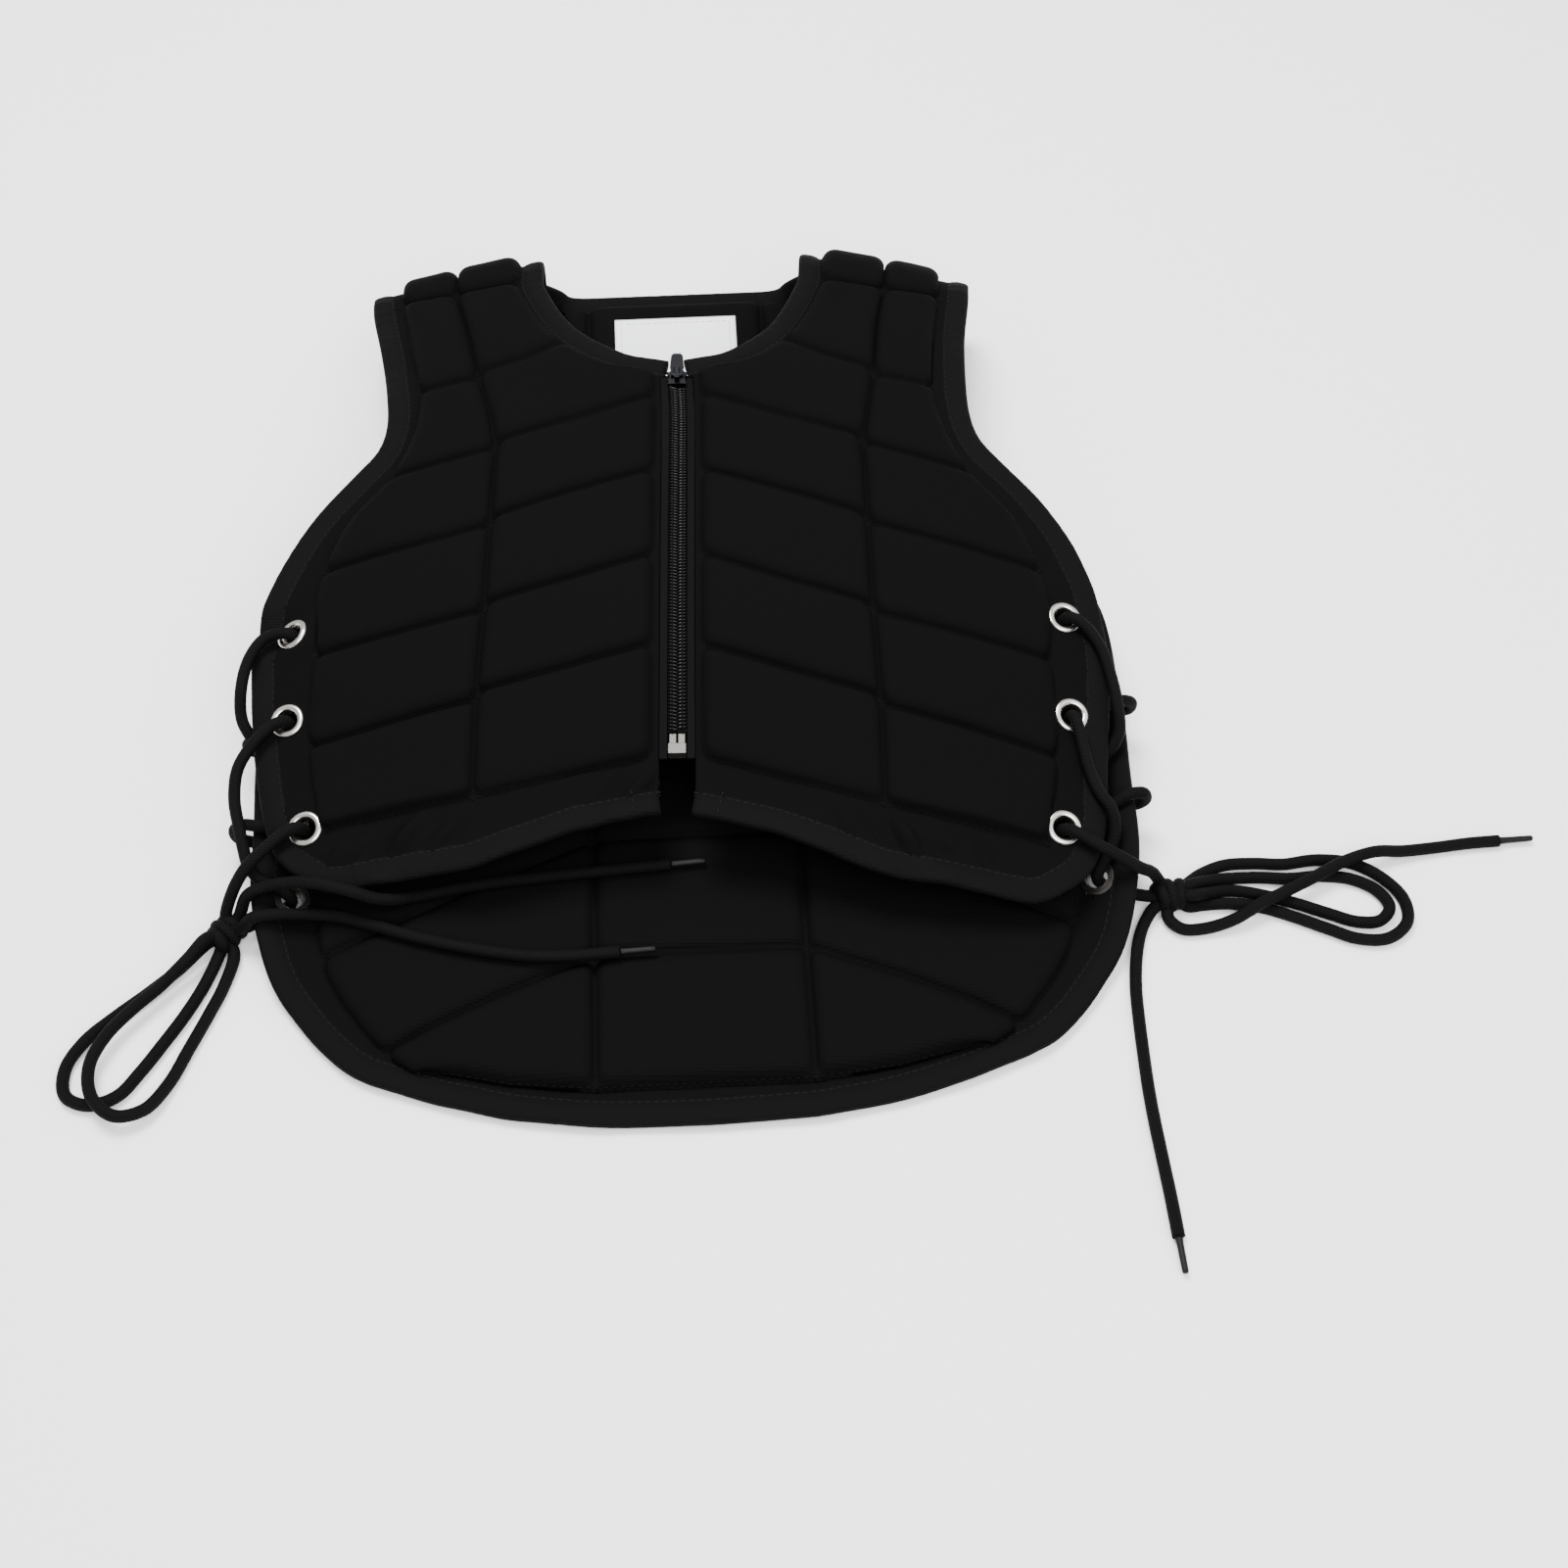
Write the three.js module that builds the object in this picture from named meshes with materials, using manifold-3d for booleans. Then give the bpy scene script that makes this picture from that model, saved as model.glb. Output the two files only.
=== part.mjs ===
// A child's riding body protector, lying on its back on a flat surface: two quilted front
// halves joined by a zip, padded shoulders that fold over the top, one quilted back that hangs
// lower than the front, and open sides laced through eyelets in unpadded flaps.
//
// Millimetres. +X is to the right for someone looking at the front with the neck away from
// them, +Y runs from the hem to the neck and +Z is up. "Right" and "left" follow that view.
// The origin is under the middle of the garment, on the surface that it lies on.

import * as THREE from 'three';
import { mergeVertices } from 'three/addons/utils/BufferGeometryUtils.js';
import Module from 'manifold-3d';

const wasm = await Module();
wasm.setup();

// Cloth and foam

const FOAM = 14; // a padded block, both cloths included
const SEAM = 4; // the two cloths and squeezed foam at a quilting seam
const CLOTH = 2.4; // an unpadded flap, both cloths
const GROOVE = 7; // a quilting channel, from block top to block top
const BEVEL = 4; // run of a block's sloping side at the edge of the padding
const CLEARANCE = 0.3; // gap between pieces that touch on the real garment

// Front

const FRONT_HALF = 186; // zip centre to the cloth edge of the flap
const FRONT_LENGTH = 340; // scale of the rows below, hem to shoulder crease
const ZIP_EDGE = 8; // zip centre to the cloth edge beside it
const ZIP_MARGIN = 3; // unpadded strip beside the zip and the neck
const SEAM_JOG = 4; // how much lower the outer blocks sit than the inner ones
const SIDE_FALL = 20; // how much lower the flaps lie than the middle of the front
const RIGHT_FLAP_TRIM = 4; // the right flap is this much narrower between hem and armhole

// Back

const BACK_HALF = 187; // centre line to the cloth edge of the flap
const BACK_LENGTH = 465; // cloth at the tail to cloth at the neck
const CENTRE_BLOCK = 45.5; // centre line to the seam of the middle column
const EDGE_LIFT_RIGHT = 16; // how far each side flap curls up off the surface
const EDGE_LIFT_LEFT = 10;
const TAIL_DROOP = 3; // how far the unpadded tail sinks towards the surface

// Shoulders

const FOLD_DEPTH = 22; // run of the fold beyond the straight part
const FOLD_CENTRE = 200; // where the fold starts, at the middle of a shoulder
const FOLD_SLANT = 0.2; // the fold starts lower towards the armhole
const SHOULDER_MIDDLE = 112; // centre line to the middle of a shoulder
const FOLD_ANGLE = 110; // degrees round the fold to the seam with the back
const SHOULDER_SPREAD = 1.03; // the shoulder widens a little towards the back
const NECK_LIFT = 6; // height of the back of the neck over the flat back

// How the garment happens to lie

const BACK_TURN = 0.0357; // radians that the back is turned against the zip
const BACK_SHIFT = 3.2; // sideways place of the back
const SHOULDER_SHIFT = -5; // sideways place of the shoulder end of the front
const HEM_TILT = 0.04; // slope of the hem end of the front, down to the right
const FLAP_SHIFT = 2.5; // both flaps lie a little to the right

// Binding

const BINDING_WIDTH = 9;
const BINDING_THICKNESS = 4.6;
const BINDING_GAP = 0.4; // from the cloth edge to the tape
const COLLAR_REACH = 2; // how far the neck's tape reaches in over the zip

// Eyelets

const EYELET_RADIUS = 8;
const EYELET_BORE = 4.5;
const EYELET_WALL = 0.6;
const EYELET_RIM = 1; // height of the rim over the cloth
const EYELET_SIDES = 8;

// Zip

const COIL_WIDTH = 8.2;
const COIL_HEIGHT = 2.6;
const TAPE_THICKNESS = 1;
const SLIDER_LENGTH = 10;
const SLIDER_WIDTH = 11;
const SLIDER_PLATE = 1.3;
const BRIDGE_WIDTH = 2.2;
const BRIDGE_HEIGHT = 3.4;
const BRIDGE_BAR = 1;
const PULL_LENGTH = 14;
const PULL_WIDTH = 6.8;
const PULL_THICKNESS = 1.4;
const PULL_ARM = 1.4;
const BOX_LENGTH = 11;
const BOX_PLATE = 5.4; // the solid part of the box, below its two pins
const BOX_WIDTH = 8;
const BOX_HEIGHT = 4.2;

// Label

const LABEL_WIDTH = 63;
const LABEL_HEIGHT = 50;
const LABEL_THICKNESS = 0.6;
const LABEL_LIFT = 0.6; // the label's gap over the pads
const LABEL_DROP = 14; // top of the label below the cloth edge at the neck

// Laces

const LACE_DIAMETER = 5;
const LACE_SIDES = 8;
const TAG_DIAMETER = 3.4; // the hard sleeve on a lace's end
const TAG_LENGTH = 15;
const KNOT = [8.5, 8, 7]; // half the knot's width, depth and height

// Finishes

const finish = (color, roughness, metalness = 0) => ({ color, roughness, metalness });
const SHELL_CLOTH = finish(0x141416, 0.9);
const BINDING_TAPE = finish(0x1a1a1c, 0.85);
const NICKEL = finish(0xc9c6bf, 0.3, 1);
const GUNMETAL = finish(0x4a4a4d, 0.35, 1);
const ZIP_NYLON = finish(0x2a2a2c, 0.6);
const LABEL_SATIN = finish(0xe9ecee, 0.6);
const LACE_BRAID = finish(0x161618, 0.8);
const TAG_FILM = finish(0x1d1d1f, 0.35);

// Numbers and tables

const clamp01 = (t) => Math.min(1, Math.max(0, t));
const smooth = (t) => {
  const c = clamp01(t);
  return c * c * (3 - 2 * c);
};
const mix = (a, b, t) => a + (b - a) * t;
const mixPoint = (a, b, t) => a.map((value, k) => mix(value, b[k], t));

const asTable = (columns, rows) =>
  rows.map((values) => Object.fromEntries(values.map((value, k) => [columns[k], value])));

function lookUp(table, key, column) {
  let k = 0;
  while (k < table.length - 2 && key > table[k + 1].row) k += 1;
  const low = table[k];
  const high = table[k + 1];
  const t = (key - low.row) / (high.row - low.row);
  return typeof low[column] === 'number'
    ? mix(low[column], high[column], t)
    : mixPoint(low[column], high[column], t);
}

// Front rows. Row 1 is the lower edge of the padding, rows 2 to 6 are the seams between
// blocks and row 7 is the shoulder crease. Across is a percentage of the way from the zip
// edge to FRONT_HALF, along is a percentage of FRONT_LENGTH.

const FRONT_ROWS = asTable(['row', 'inner', 'middle', 'seam', 'side', 'edge'], [
  [0, [0, -32.1], [19.7, -34], [45, -38.8], [80, -41], [89.3, -37.6]],
  [1, [0, -26.5], [22.5, -29.4], [45, -32.1], [83, -35.3], [94, -31.2]],
  [2, [0, -10.7], [22.5, -14.1], [45, -17.9], [87.6, -22.9], [98.6, -18.2]],
  [3, [0, 3.5], [22.5, -0.6], [44.1, -4.7], [87.9, -9.4], [100, -5.9]],
  [4, [0, 17.8], [22.5, 14], [43.8, 9.5], [87.1, 4], [95, 4.8]],
  [4.5, [0, 24.9], [22.5, 20.6], [43.8, 16.3], [81.5, 12.1], [88.2, 12.4]],
  [5, [0, 31.9], [22.5, 27.5], [43.8, 23.4], [71.3, 19.4], [77, 20]],
  [5.25, [0, 36.8], [22.5, 32.6], [45, 26.8], [67.9, 23.5], [71.8, 23.8]],
  [5.5, [9.6, 38.4], [25.8, 34.8], [46.1, 30.3], [65.8, 27.9], [69.4, 27.9]],
  [5.75, [17.1, 41], [30.3, 36.8], [47.5, 33.8], [64.9, 31.8], [68.8, 31.5]],
  [6, [23.6, 44.1], [36, 40.3], [48.9, 37.4], [64.9, 35.6], [69.1, 35.3]],
  [6.5, [30.9, 50.3], [41.6, 48.5], [51.7, 46.8], [67.6, 45.9], [71.3, 45.6]],
  [7, [36.5, 57.9], [46.1, 57.5], [55.6, 56.8], [71, 55.9], [74.7, 55.6]],
]);

// Height of the front's upper face at the zip, over FRONT_LENGTH, in millimetres

const FRONT_CREST = [
  { row: -44, height: 46 },
  { row: -37, height: 51 },
  { row: -27, height: 56 },
  { row: -9, height: 67 },
  { row: 9, height: 73 },
  { row: 26, height: 75 },
  { row: 41, height: 73 },
  { row: 61, height: 67 },
];

// Back rows, counted from the tail. Row 1 is the lower edge of the padding and row 9 is the
// neck and the shoulder seam. Across is a percentage of BACK_HALF, along of BACK_LENGTH.

const BACK_ROWS = [
  { row: 0, centre: -50.3, seam: -50, middle: [42, -48.9], side: [57, -47.2], edge: [74, -44.6] },
  { row: 1, centre: -48.3, seam: -48.3, middle: [43, -47.4], side: [63, -45.4], edge: [79, -43] },
  { row: 2, centre: -35.3, seam: -35.4, middle: [46, -39], side: [71, -43.9], edge: [86.5, -39.5] },
  { row: 3, centre: -22.6, seam: -22.6, middle: [55, -28], side: [86.5, -34.2], edge: [95, -33.5] },
  { row: 3.5, centre: -16.2, seam: -16.2, middle: [56, -22], side: [88.8, -27.9], edge: [98.3, -27.7] },
  { row: 4, centre: -9.9, seam: -9.9, middle: [57, -15.5], side: [89.5, -21.5], edge: [99, -20.9] },
  { row: 5, centre: 2.8, seam: 2.8, middle: [57, -3], side: [89.5, -9], edge: [100, -8.6] },
  { row: 6, centre: 15.5, seam: 15.5, middle: [55, 9.7], side: [85, 3.9], edge: [96.8, 4.3] },
  { row: 6.5, centre: 21.8, seam: 21.8, middle: [52, 16.5], side: [78.5, 12], edge: [87.5, 13] },
  { row: 7, centre: 28.2, seam: 27.6, middle: [49, 24.6], side: [69.5, 21.5], edge: [75, 22.2] },
  { row: 8, centre: 39.8, seam: 38.4, middle: [46, 36.8], side: [69, 34.6], edge: [72.6, 34.6] },
  { row: 9, centre: 49.7, seam: 49.7, middle: [41.7, 48.8], side: [73.2, 46.4], edge: [76.4, 46.1] },
];

// Eyelet seats: the row and how far across the flap, from the padding to the cloth edge,
// with the extra lean of the eyelet towards the hem and towards the outside, in degrees

const FRONT_SEATS = [
  { name: 'upper', right: [3.42, 0.47], left: [3.17, 0.6], lean: { right: [2, 0], left: [-6, 16] } },
  { name: 'middle', right: [2.33, 0.37], left: [2.12, 0.58], lean: { right: [4, 0], left: [4, 0] } },
  { name: 'lower', right: [1.07, 0.4], left: [0.82, 0.42], lean: { right: [8, 0], left: [8, 0] } },
];
const BACK_SEATS = [
  { name: 'upper', right: [4.97, 0.5], left: [4.97, 0.5], lean: { right: [0, 0], left: [0, 0] } },
  { name: 'middle', right: [4.18, 0.55], left: [4.12, 0.5], lean: { right: [0, 0], left: [0, 0] } },
  { name: 'lower', right: [3.33, 0.53], left: [3.5, 0.54], lean: { right: [0, 0], left: [0, 0] } },
];
const SEAT_FLAT = 9; // the flap is flat this far round an eyelet's centre
const SEAT_BLEND = 8; // and blends into its own shape over this distance

// The surfaces halfway through the front and the back, before the garment is laid

function frontMiddle(x, y) {
  const crest = lookUp(FRONT_CREST, (y / FRONT_LENGTH) * 100, 'height');
  return crest - FOAM / 2 - SIDE_FALL * (Math.abs(x) / FRONT_HALF) ** 2.2;
}

const foldStart = (x) => FOLD_CENTRE - FOLD_SLANT * (Math.abs(x) - SHOULDER_MIDDLE);

function foldHeight(x) {
  return (frontMiddle(x, foldStart(x)) - FOAM / 2) / 2;
}

function backMiddle(x, y) {
  const lift = x > 0 ? EDGE_LIFT_RIGHT : EDGE_LIFT_LEFT;
  const out = smooth((Math.abs(x) - 0.83 * BACK_HALF) / (0.22 * BACK_HALF));
  const side = lift * out * smooth((y / BACK_LENGTH + 0.42) / 0.16) * smooth((0.3 - y / BACK_LENGTH) / 0.12);
  const neck = NECK_LIFT * smooth((y / BACK_LENGTH - 0.39) / 0.11);
  const run = clamp01((y - foldStart(x)) / FOLD_DEPTH);
  const fold = foldHeight(x) * (1 - Math.sqrt(1 - Math.min(run, 0.98) ** 2));
  const shoulder = smooth((Math.abs(x) / BACK_HALF - 0.25) / 0.17);
  return FOAM / 2 + side + mix(neck, fold, shoulder);
}

// Laying the garment down

function layFront([x, y, z]) {
  const shift = SHOULDER_SHIFT * smooth((y - 0.26 * FRONT_LENGTH) / (0.32 * FRONT_LENGTH));
  const tilt = HEM_TILT * clamp01((0.24 * FRONT_LENGTH - y) / (0.5 * FRONT_LENGTH));
  return [x + shift + FLAP_SHIFT * (x / FRONT_HALF) ** 2 * clamp01(2 - y / 60), y - tilt * x, z];
}

function layBack([x, y, z]) {
  const c = Math.cos(BACK_TURN);
  const s = Math.sin(BACK_TURN);
  return [BACK_SHIFT + x * c - y * s, x * s + y * c, z];
}

// Closed meshes

function signedVolume(points, faces) {
  return faces.reduce((sum, [a, b, c]) => {
    const [p, q, r] = [points[a], points[b], points[c]];
    const cross = [q[1] * r[2] - q[2] * r[1], q[2] * r[0] - q[0] * r[2], q[0] * r[1] - q[1] * r[0]];
    return sum + p[0] * cross[0] + p[1] * cross[1] + p[2] * cross[2];
  }, 0);
}

function closedMesh(points, faces) {
  const outward = signedVolume(points, faces) > 0 ? faces : faces.map(([a, b, c]) => [a, c, b]);
  const geometry = new THREE.BufferGeometry();
  geometry.setAttribute('position', new THREE.Float32BufferAttribute(points.flat(), 3));
  geometry.setIndex(outward.flat());
  return geometry;
}

function slab(upper, lower) {
  const rows = upper.length;
  const columns = upper[0].length;
  const at = (layer, i, j) => (layer * rows + i) * columns + j;
  const faces = [];
  const quad = (a, b, c, d) => faces.push([a, b, c], [a, c, d]);
  for (let i = 0; i + 1 < rows; i += 1) {
    for (let j = 0; j + 1 < columns; j += 1) {
      quad(at(0, i, j), at(0, i, j + 1), at(0, i + 1, j + 1), at(0, i + 1, j));
      quad(at(1, i, j), at(1, i + 1, j), at(1, i + 1, j + 1), at(1, i, j + 1));
    }
  }
  const rim = [];
  for (let j = 0; j < columns; j += 1) rim.push([0, j]);
  for (let i = 1; i < rows; i += 1) rim.push([i, columns - 1]);
  for (let j = columns - 2; j >= 0; j -= 1) rim.push([rows - 1, j]);
  for (let i = rows - 2; i >= 1; i -= 1) rim.push([i, 0]);
  rim.forEach(([i, j], k) => {
    const [m, n] = rim[(k + 1) % rim.length];
    quad(at(0, i, j), at(1, i, j), at(1, m, n), at(0, m, n));
  });
  return closedMesh([...upper.flat(), ...lower.flat()], faces);
}

function loft(rings) {
  const count = rings[0].length;
  const faces = [];
  for (let i = 0; i + 1 < rings.length; i += 1) {
    for (let k = 0; k < count; k += 1) {
      const [a, b] = [i * count + k, i * count + ((k + 1) % count)];
      faces.push([a, b, b + count], [a, b + count, a + count]);
    }
  }
  const last = (rings.length - 1) * count;
  for (let k = 1; k + 1 < count; k += 1) faces.push([0, k + 1, k], [last, last + k, last + k + 1]);
  return closedMesh(rings.flat(), faces);
}

function toSolid(geometry) {
  const bare = geometry.clone();
  bare.deleteAttribute('normal');
  bare.deleteAttribute('uv');
  const merged = mergeVertices(bare, 1e-4);
  const vertProperties = Float32Array.from(merged.attributes.position.array);
  const triVerts = Uint32Array.from(merged.index.array);
  return new wasm.Manifold(new wasm.Mesh({ numProp: 3, vertProperties, triVerts }));
}

function fromSolid(solid) {
  const mesh = solid.getMesh();
  const geometry = new THREE.BufferGeometry();
  geometry.setAttribute('position', new THREE.BufferAttribute(Float32Array.from(mesh.vertProperties), 3));
  geometry.setIndex(new THREE.BufferAttribute(Uint32Array.from(mesh.triVerts), 1));
  return geometry;
}

function piece(name, geometry, look) {
  const mesh = new THREE.Mesh(geometry, new THREE.MeshStandardMaterial(look));
  mesh.name = name;
  return mesh;
}

// A padded panel is a grid of stations across each row, each with its place on the middle
// surface and its half thickness. Rows and columns that carry a seam are thinner.

const HALF = { pad: FOAM / 2, seam: SEAM / 2, cloth: CLOTH / 2 };

const towards = (a, b, distance) => mixPoint(a, b, distance / Math.hypot(b[0] - a[0], b[1] - a[1]));

function frontStations(row) {
  const width = FRONT_HALF - ZIP_EDGE;
  const [inner, middle, seam, side, edge] = ['inner', 'middle', 'seam', 'side', 'edge'].map((column) => {
    const [across, along] = lookUp(FRONT_ROWS, row, column);
    return [ZIP_EDGE + (across * width) / 100, (along * FRONT_LENGTH) / 100];
  });
  const jog = row > 1 && row < 6.6 ? SEAM_JOG / 2 : 0;
  const raised = ([x, y]) => [x, y + jog];
  const lowered = ([x, y]) => [x, y - jog];
  return [
    [inner, 'cloth'],
    [towards(inner, middle, ZIP_MARGIN), 'cloth'],
    [towards(inner, middle, ZIP_MARGIN + BEVEL), 'pad'],
    [middle, 'pad'],
    [raised(towards(seam, middle, GROOVE / 2)), 'pad'],
    [seam, 'seam'],
    [lowered(towards(seam, side, GROOVE / 2)), 'pad'],
    [lowered(mixPoint(seam, side, 0.5)), 'pad'],
    [lowered(towards(side, seam, BEVEL)), 'pad'],
    [side, 'cloth'],
    [mixPoint(side, edge, 0.5), 'cloth'],
    [edge, 'cloth'],
  ];
}

const NOTCH = GROOVE / 2 / 48; // half a groove, as a share of a block

function blockRows(first, last, middles) {
  const rows = [];
  for (let line = first; line <= last; line += 1) {
    if (line > first) rows.push([line - NOTCH, 'pad']);
    rows.push([line, line === first ? 'cloth' : 'seam']);
    if (line === last) break;
    rows.push([line + NOTCH, 'pad']);
    middles.filter((m) => m > line && m < line + 1).forEach((m) => rows.push([m, 'pad']));
  }
  return rows;
}

const FRONT_GRID = [[0, 'cloth'], [0.5, 'cloth'], ...blockRows(1, 7, [2.5, 3.5, 4.5, 5.25, 5.5, 5.75, 6.5])];
const BACK_GRID = [[0, 'cloth'], [0.5, 'cloth'], ...blockRows(1, 9, [3.5, 6.5])];

const thinner = (a, b) => Math.min(HALF[a], HALF[b]);

function slopeNormal(surface, x, y) {
  const step = 0.5;
  const dx = (surface(x + step, y) - surface(x - step, y)) / (2 * step);
  const dy = (surface(x, y + step) - surface(x, y - step)) / (2 * step);
  return new THREE.Vector3(-dx, -dy, 1).normalize();
}

// Where each eyelet sits on its flap, and which way it faces

function seats(table, stations, side, edge, surface, lay) {
  return ['right', 'left'].flatMap((hand) =>
    table.map(({ name, lean, ...places }) => {
      const sign = hand === 'right' ? 1 : -1;
      const [row, across] = places[hand];
      const [x, y] = mixPoint(stations(row)[side][0], stations(row)[edge][0], across);
      const normal = slopeNormal(surface, sign * x, y);
      const [hemward, outward] = lean[hand].map((degrees) => (degrees * Math.PI) / 180);
      normal.applyAxisAngle(new THREE.Vector3(1, 0, 0), hemward);
      normal.applyAxisAngle(new THREE.Vector3(0, 1, 0), sign * outward);
      return { name: `${hand}_${name}`, place: lay([sign * x, y, surface(sign * x, y)]), normal };
    }),
  );
}

const frontSeats = seats(FRONT_SEATS, frontStations, 9, 11, frontMiddle, layFront);
const backSeats = seats(BACK_SEATS, backStations, 6, 8, backMiddle, layBack);

function pulledToSeats([x, y, z], all) {
  return all.reduce(([px, py, pz], { place, normal }) => {
    const distance = Math.hypot(px - place[0], py - place[1]);
    const flat = place[2] - (normal.x * (px - place[0]) + normal.y * (py - place[1])) / normal.z;
    return [px, py, mix(pz, flat, 1 - smooth((distance - SEAT_FLAT) / SEAT_BLEND))];
  }, [x, y, z]);
}

function frontSheet(sign) {
  return FRONT_GRID.map(([row, rowKind]) => {
    const stations = frontStations(row);
    const trimmedRows = smooth((row - 0.7) / 1.2) * (1 - smooth((row - 3) / 1.5));
    const trim = sign > 0 ? RIGHT_FLAP_TRIM * trimmedRows : 0;
    return stations.map(([[full, y], kind], j) => {
      const x = full - trim * clamp01((j - 9) / 2);
      const laid = layFront([sign * x, y, frontMiddle(x, y)]);
      const place = kind === 'cloth' ? pulledToSeats(laid, frontSeats) : laid;
      return { place, half: thinner(kind, rowKind), row };
    });
  });
}

// Each station's normal, from its neighbours, turned to the side that faces out of the foam

function withNormals(sheet, facing) {
  const near = (list, k) => [list[Math.max(k - 1, 0)], list[Math.min(k + 1, list.length - 1)]];
  const between = ([a, b]) => new THREE.Vector3(...b.place).sub(new THREE.Vector3(...a.place));
  return sheet.map((line, i) => line.map((station, j) => {
    const across = between(near(line, j));
    const along = between(near(sheet, i).map((other) => other[j]));
    return { ...station, normal: across.cross(along).multiplyScalar(facing).normalize() };
  }));
}

// The shoulder runs straight from the crease to the fold, then round it to the back

const FOLD_TURN = (FOLD_ANGLE * Math.PI) / 180;
const FOLD_GAP = 2 * CLEARANCE; // the shoulder's ends stop short of the panels by this much
const seamLine = (x) => foldStart(x) + FOLD_DEPTH * Math.sin(FOLD_TURN);

function shoulderSheet(sign) {
  const turns = [[0, 'seam'], [0.12, 'pad'], [0.35, 'pad'], [0.6, 'pad'], [0.88, 'pad'], [1, 'seam']];
  const stations = frontStations(7).filter((_, j) => j !== 1 && j !== 10);
  return turns.map(([turn, turnKind]) =>
    stations.map(([[creaseX, creaseY], kind]) => {
      const x = creaseX * mix(1, SHOULDER_SPREAD, turn);
      const start = foldStart(x);
      const straight = start - creaseY;
      const run = mix(FOLD_GAP, straight + FOLD_TURN * FOLD_DEPTH - FOLD_GAP, turn);
      const angle = Math.max(0, (run - straight) / FOLD_DEPTH);
      const y = run < straight ? creaseY + run : start + FOLD_DEPTH * Math.sin(angle);
      const z = run < straight ? frontMiddle(x, y) : FOAM / 2 + foldHeight(x) * (1 + Math.cos(angle));
      const place = mixPoint(layFront([sign * x, y, z]), layBack([sign * x, y, z]), smooth(turn));
      return { place, half: thinner(kind, turnKind), row: 7 + turn };
    }),
  );
}

function backStations(row) {
  const scale = ([across, along]) => [(across * BACK_HALF) / 100, (along * BACK_LENGTH) / 100];
  const centre = [0, (lookUp(BACK_ROWS, row, 'centre') * BACK_LENGTH) / 100];
  const seam = [CENTRE_BLOCK, (lookUp(BACK_ROWS, row, 'seam') * BACK_LENGTH) / 100];
  const [middle, side, edge] = ['middle', 'side', 'edge'].map((column) =>
    scale(lookUp(BACK_ROWS, row, column)));
  return [
    [centre, 'pad'],
    [towards(seam, centre, GROOVE / 2), 'pad'],
    [seam, 'seam'],
    [towards(seam, middle, GROOVE / 2), 'pad'],
    [middle, 'pad'],
    [towards(side, middle, BEVEL), 'pad'],
    [side, 'cloth'],
    [mixPoint(side, edge, 0.5), 'cloth'],
    [edge, 'cloth'],
  ];
}

const lastRow = BACK_ROWS[BACK_ROWS.length - 1].row;

// Across the shoulder seam, the back's stations from its middle one outwards

const shoulderEnd = (() => {
  const crease = frontStations(7).map(([[x]]) => x * SHOULDER_SPREAD);
  const [inner, outer] = [crease[0], crease[crease.length - 1]];
  const between = (share) => mix(inner, outer, share);
  return { 4: inner, 5: between(0.8), 6: between(0.87), 7: between(0.94), 8: outer };
})();

function backSheet() {
  return BACK_GRID.map(([row, rowKind]) => {
    const right = backStations(row).map(([[x, y], kind], j) => {
      const loose = row < 1 ? 1 : clamp01((j - 5) / 2);
      const droop = TAIL_DROOP * loose * smooth((-0.3 - y / BACK_LENGTH) / 0.12);
      const atShoulder = row === lastRow ? shoulderEnd[j] : undefined;
      const flat = atShoulder ? [atShoulder, seamLine(atShoulder)] : [x, y];
      return { flat, kind, half: thinner(kind, rowKind), droop };
    });
    const left = right.slice(1).reverse().map((s) => ({ ...s, flat: [-s.flat[0], s.flat[1]] }));
    return [...left, ...right].map(({ flat: [x, y], kind, half, droop }) => {
      const laid = layBack([x, y, backMiddle(x, y) - droop]);
      const place = kind === 'cloth' ? pulledToSeats(laid, backSeats) : laid;
      return { place, half, row };
    });
  });
}

function panel(sheet) {
  const face = (sign) => sheet.map((line) => line.map(({ place, half, normal }) => {
    const offset = normal.clone().multiplyScalar(sign * half).toArray();
    return place.map((value, k) => value + offset[k]);
  }));
  return slab(face(1), face(-1));
}

// Eyelets: a lathed rim above the cloth, a barrel through it and a washer below

const lathed = (profile, sides) =>
  new THREE.LatheGeometry(profile.map(([r, h]) => new THREE.Vector2(r, h)), sides);

const CLOTH_FACE = CLOTH / 2 + CLEARANCE;
const BARREL = EYELET_BORE + EYELET_WALL;
const WASHER = EYELET_RADIUS - 0.3;

const eyeletForm = () => lathed([
  [EYELET_BORE, -CLOTH_FACE - EYELET_WALL],
  [WASHER, -CLOTH_FACE - EYELET_WALL],
  [WASHER, -CLOTH_FACE],
  [BARREL, -CLOTH_FACE],
  [BARREL, CLOTH_FACE],
  [EYELET_RADIUS, CLOTH_FACE],
  [EYELET_BORE + EYELET_WALL, CLOTH_FACE + EYELET_RIM],
  [EYELET_BORE, -CLOTH_FACE - EYELET_WALL],
], EYELET_SIDES);

// What an eyelet takes out of the cloth: its own outline and the clearance round it

const SEAT_ROOM = 4; // the cloth is trimmed back this far above and below an eyelet
const eyeletRoom = () => lathed([
  [0, -SEAT_ROOM],
  [WASHER + CLEARANCE, -SEAT_ROOM],
  [WASHER + CLEARANCE, -CLOTH_FACE + CLEARANCE],
  [BARREL + CLEARANCE, -CLOTH_FACE + CLEARANCE],
  [BARREL + CLEARANCE, CLOTH_FACE - CLEARANCE],
  [EYELET_RADIUS + CLEARANCE, CLOTH_FACE - CLEARANCE],
  [EYELET_RADIUS + CLEARANCE, SEAT_ROOM],
  [0, SEAT_ROOM],
], EYELET_SIDES);

function seated(geometry, { place, normal }) {
  const turn = new THREE.Quaternion().setFromUnitVectors(new THREE.Vector3(0, 1, 0), normal);
  return geometry.applyQuaternion(turn).translate(...place);
}

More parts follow.
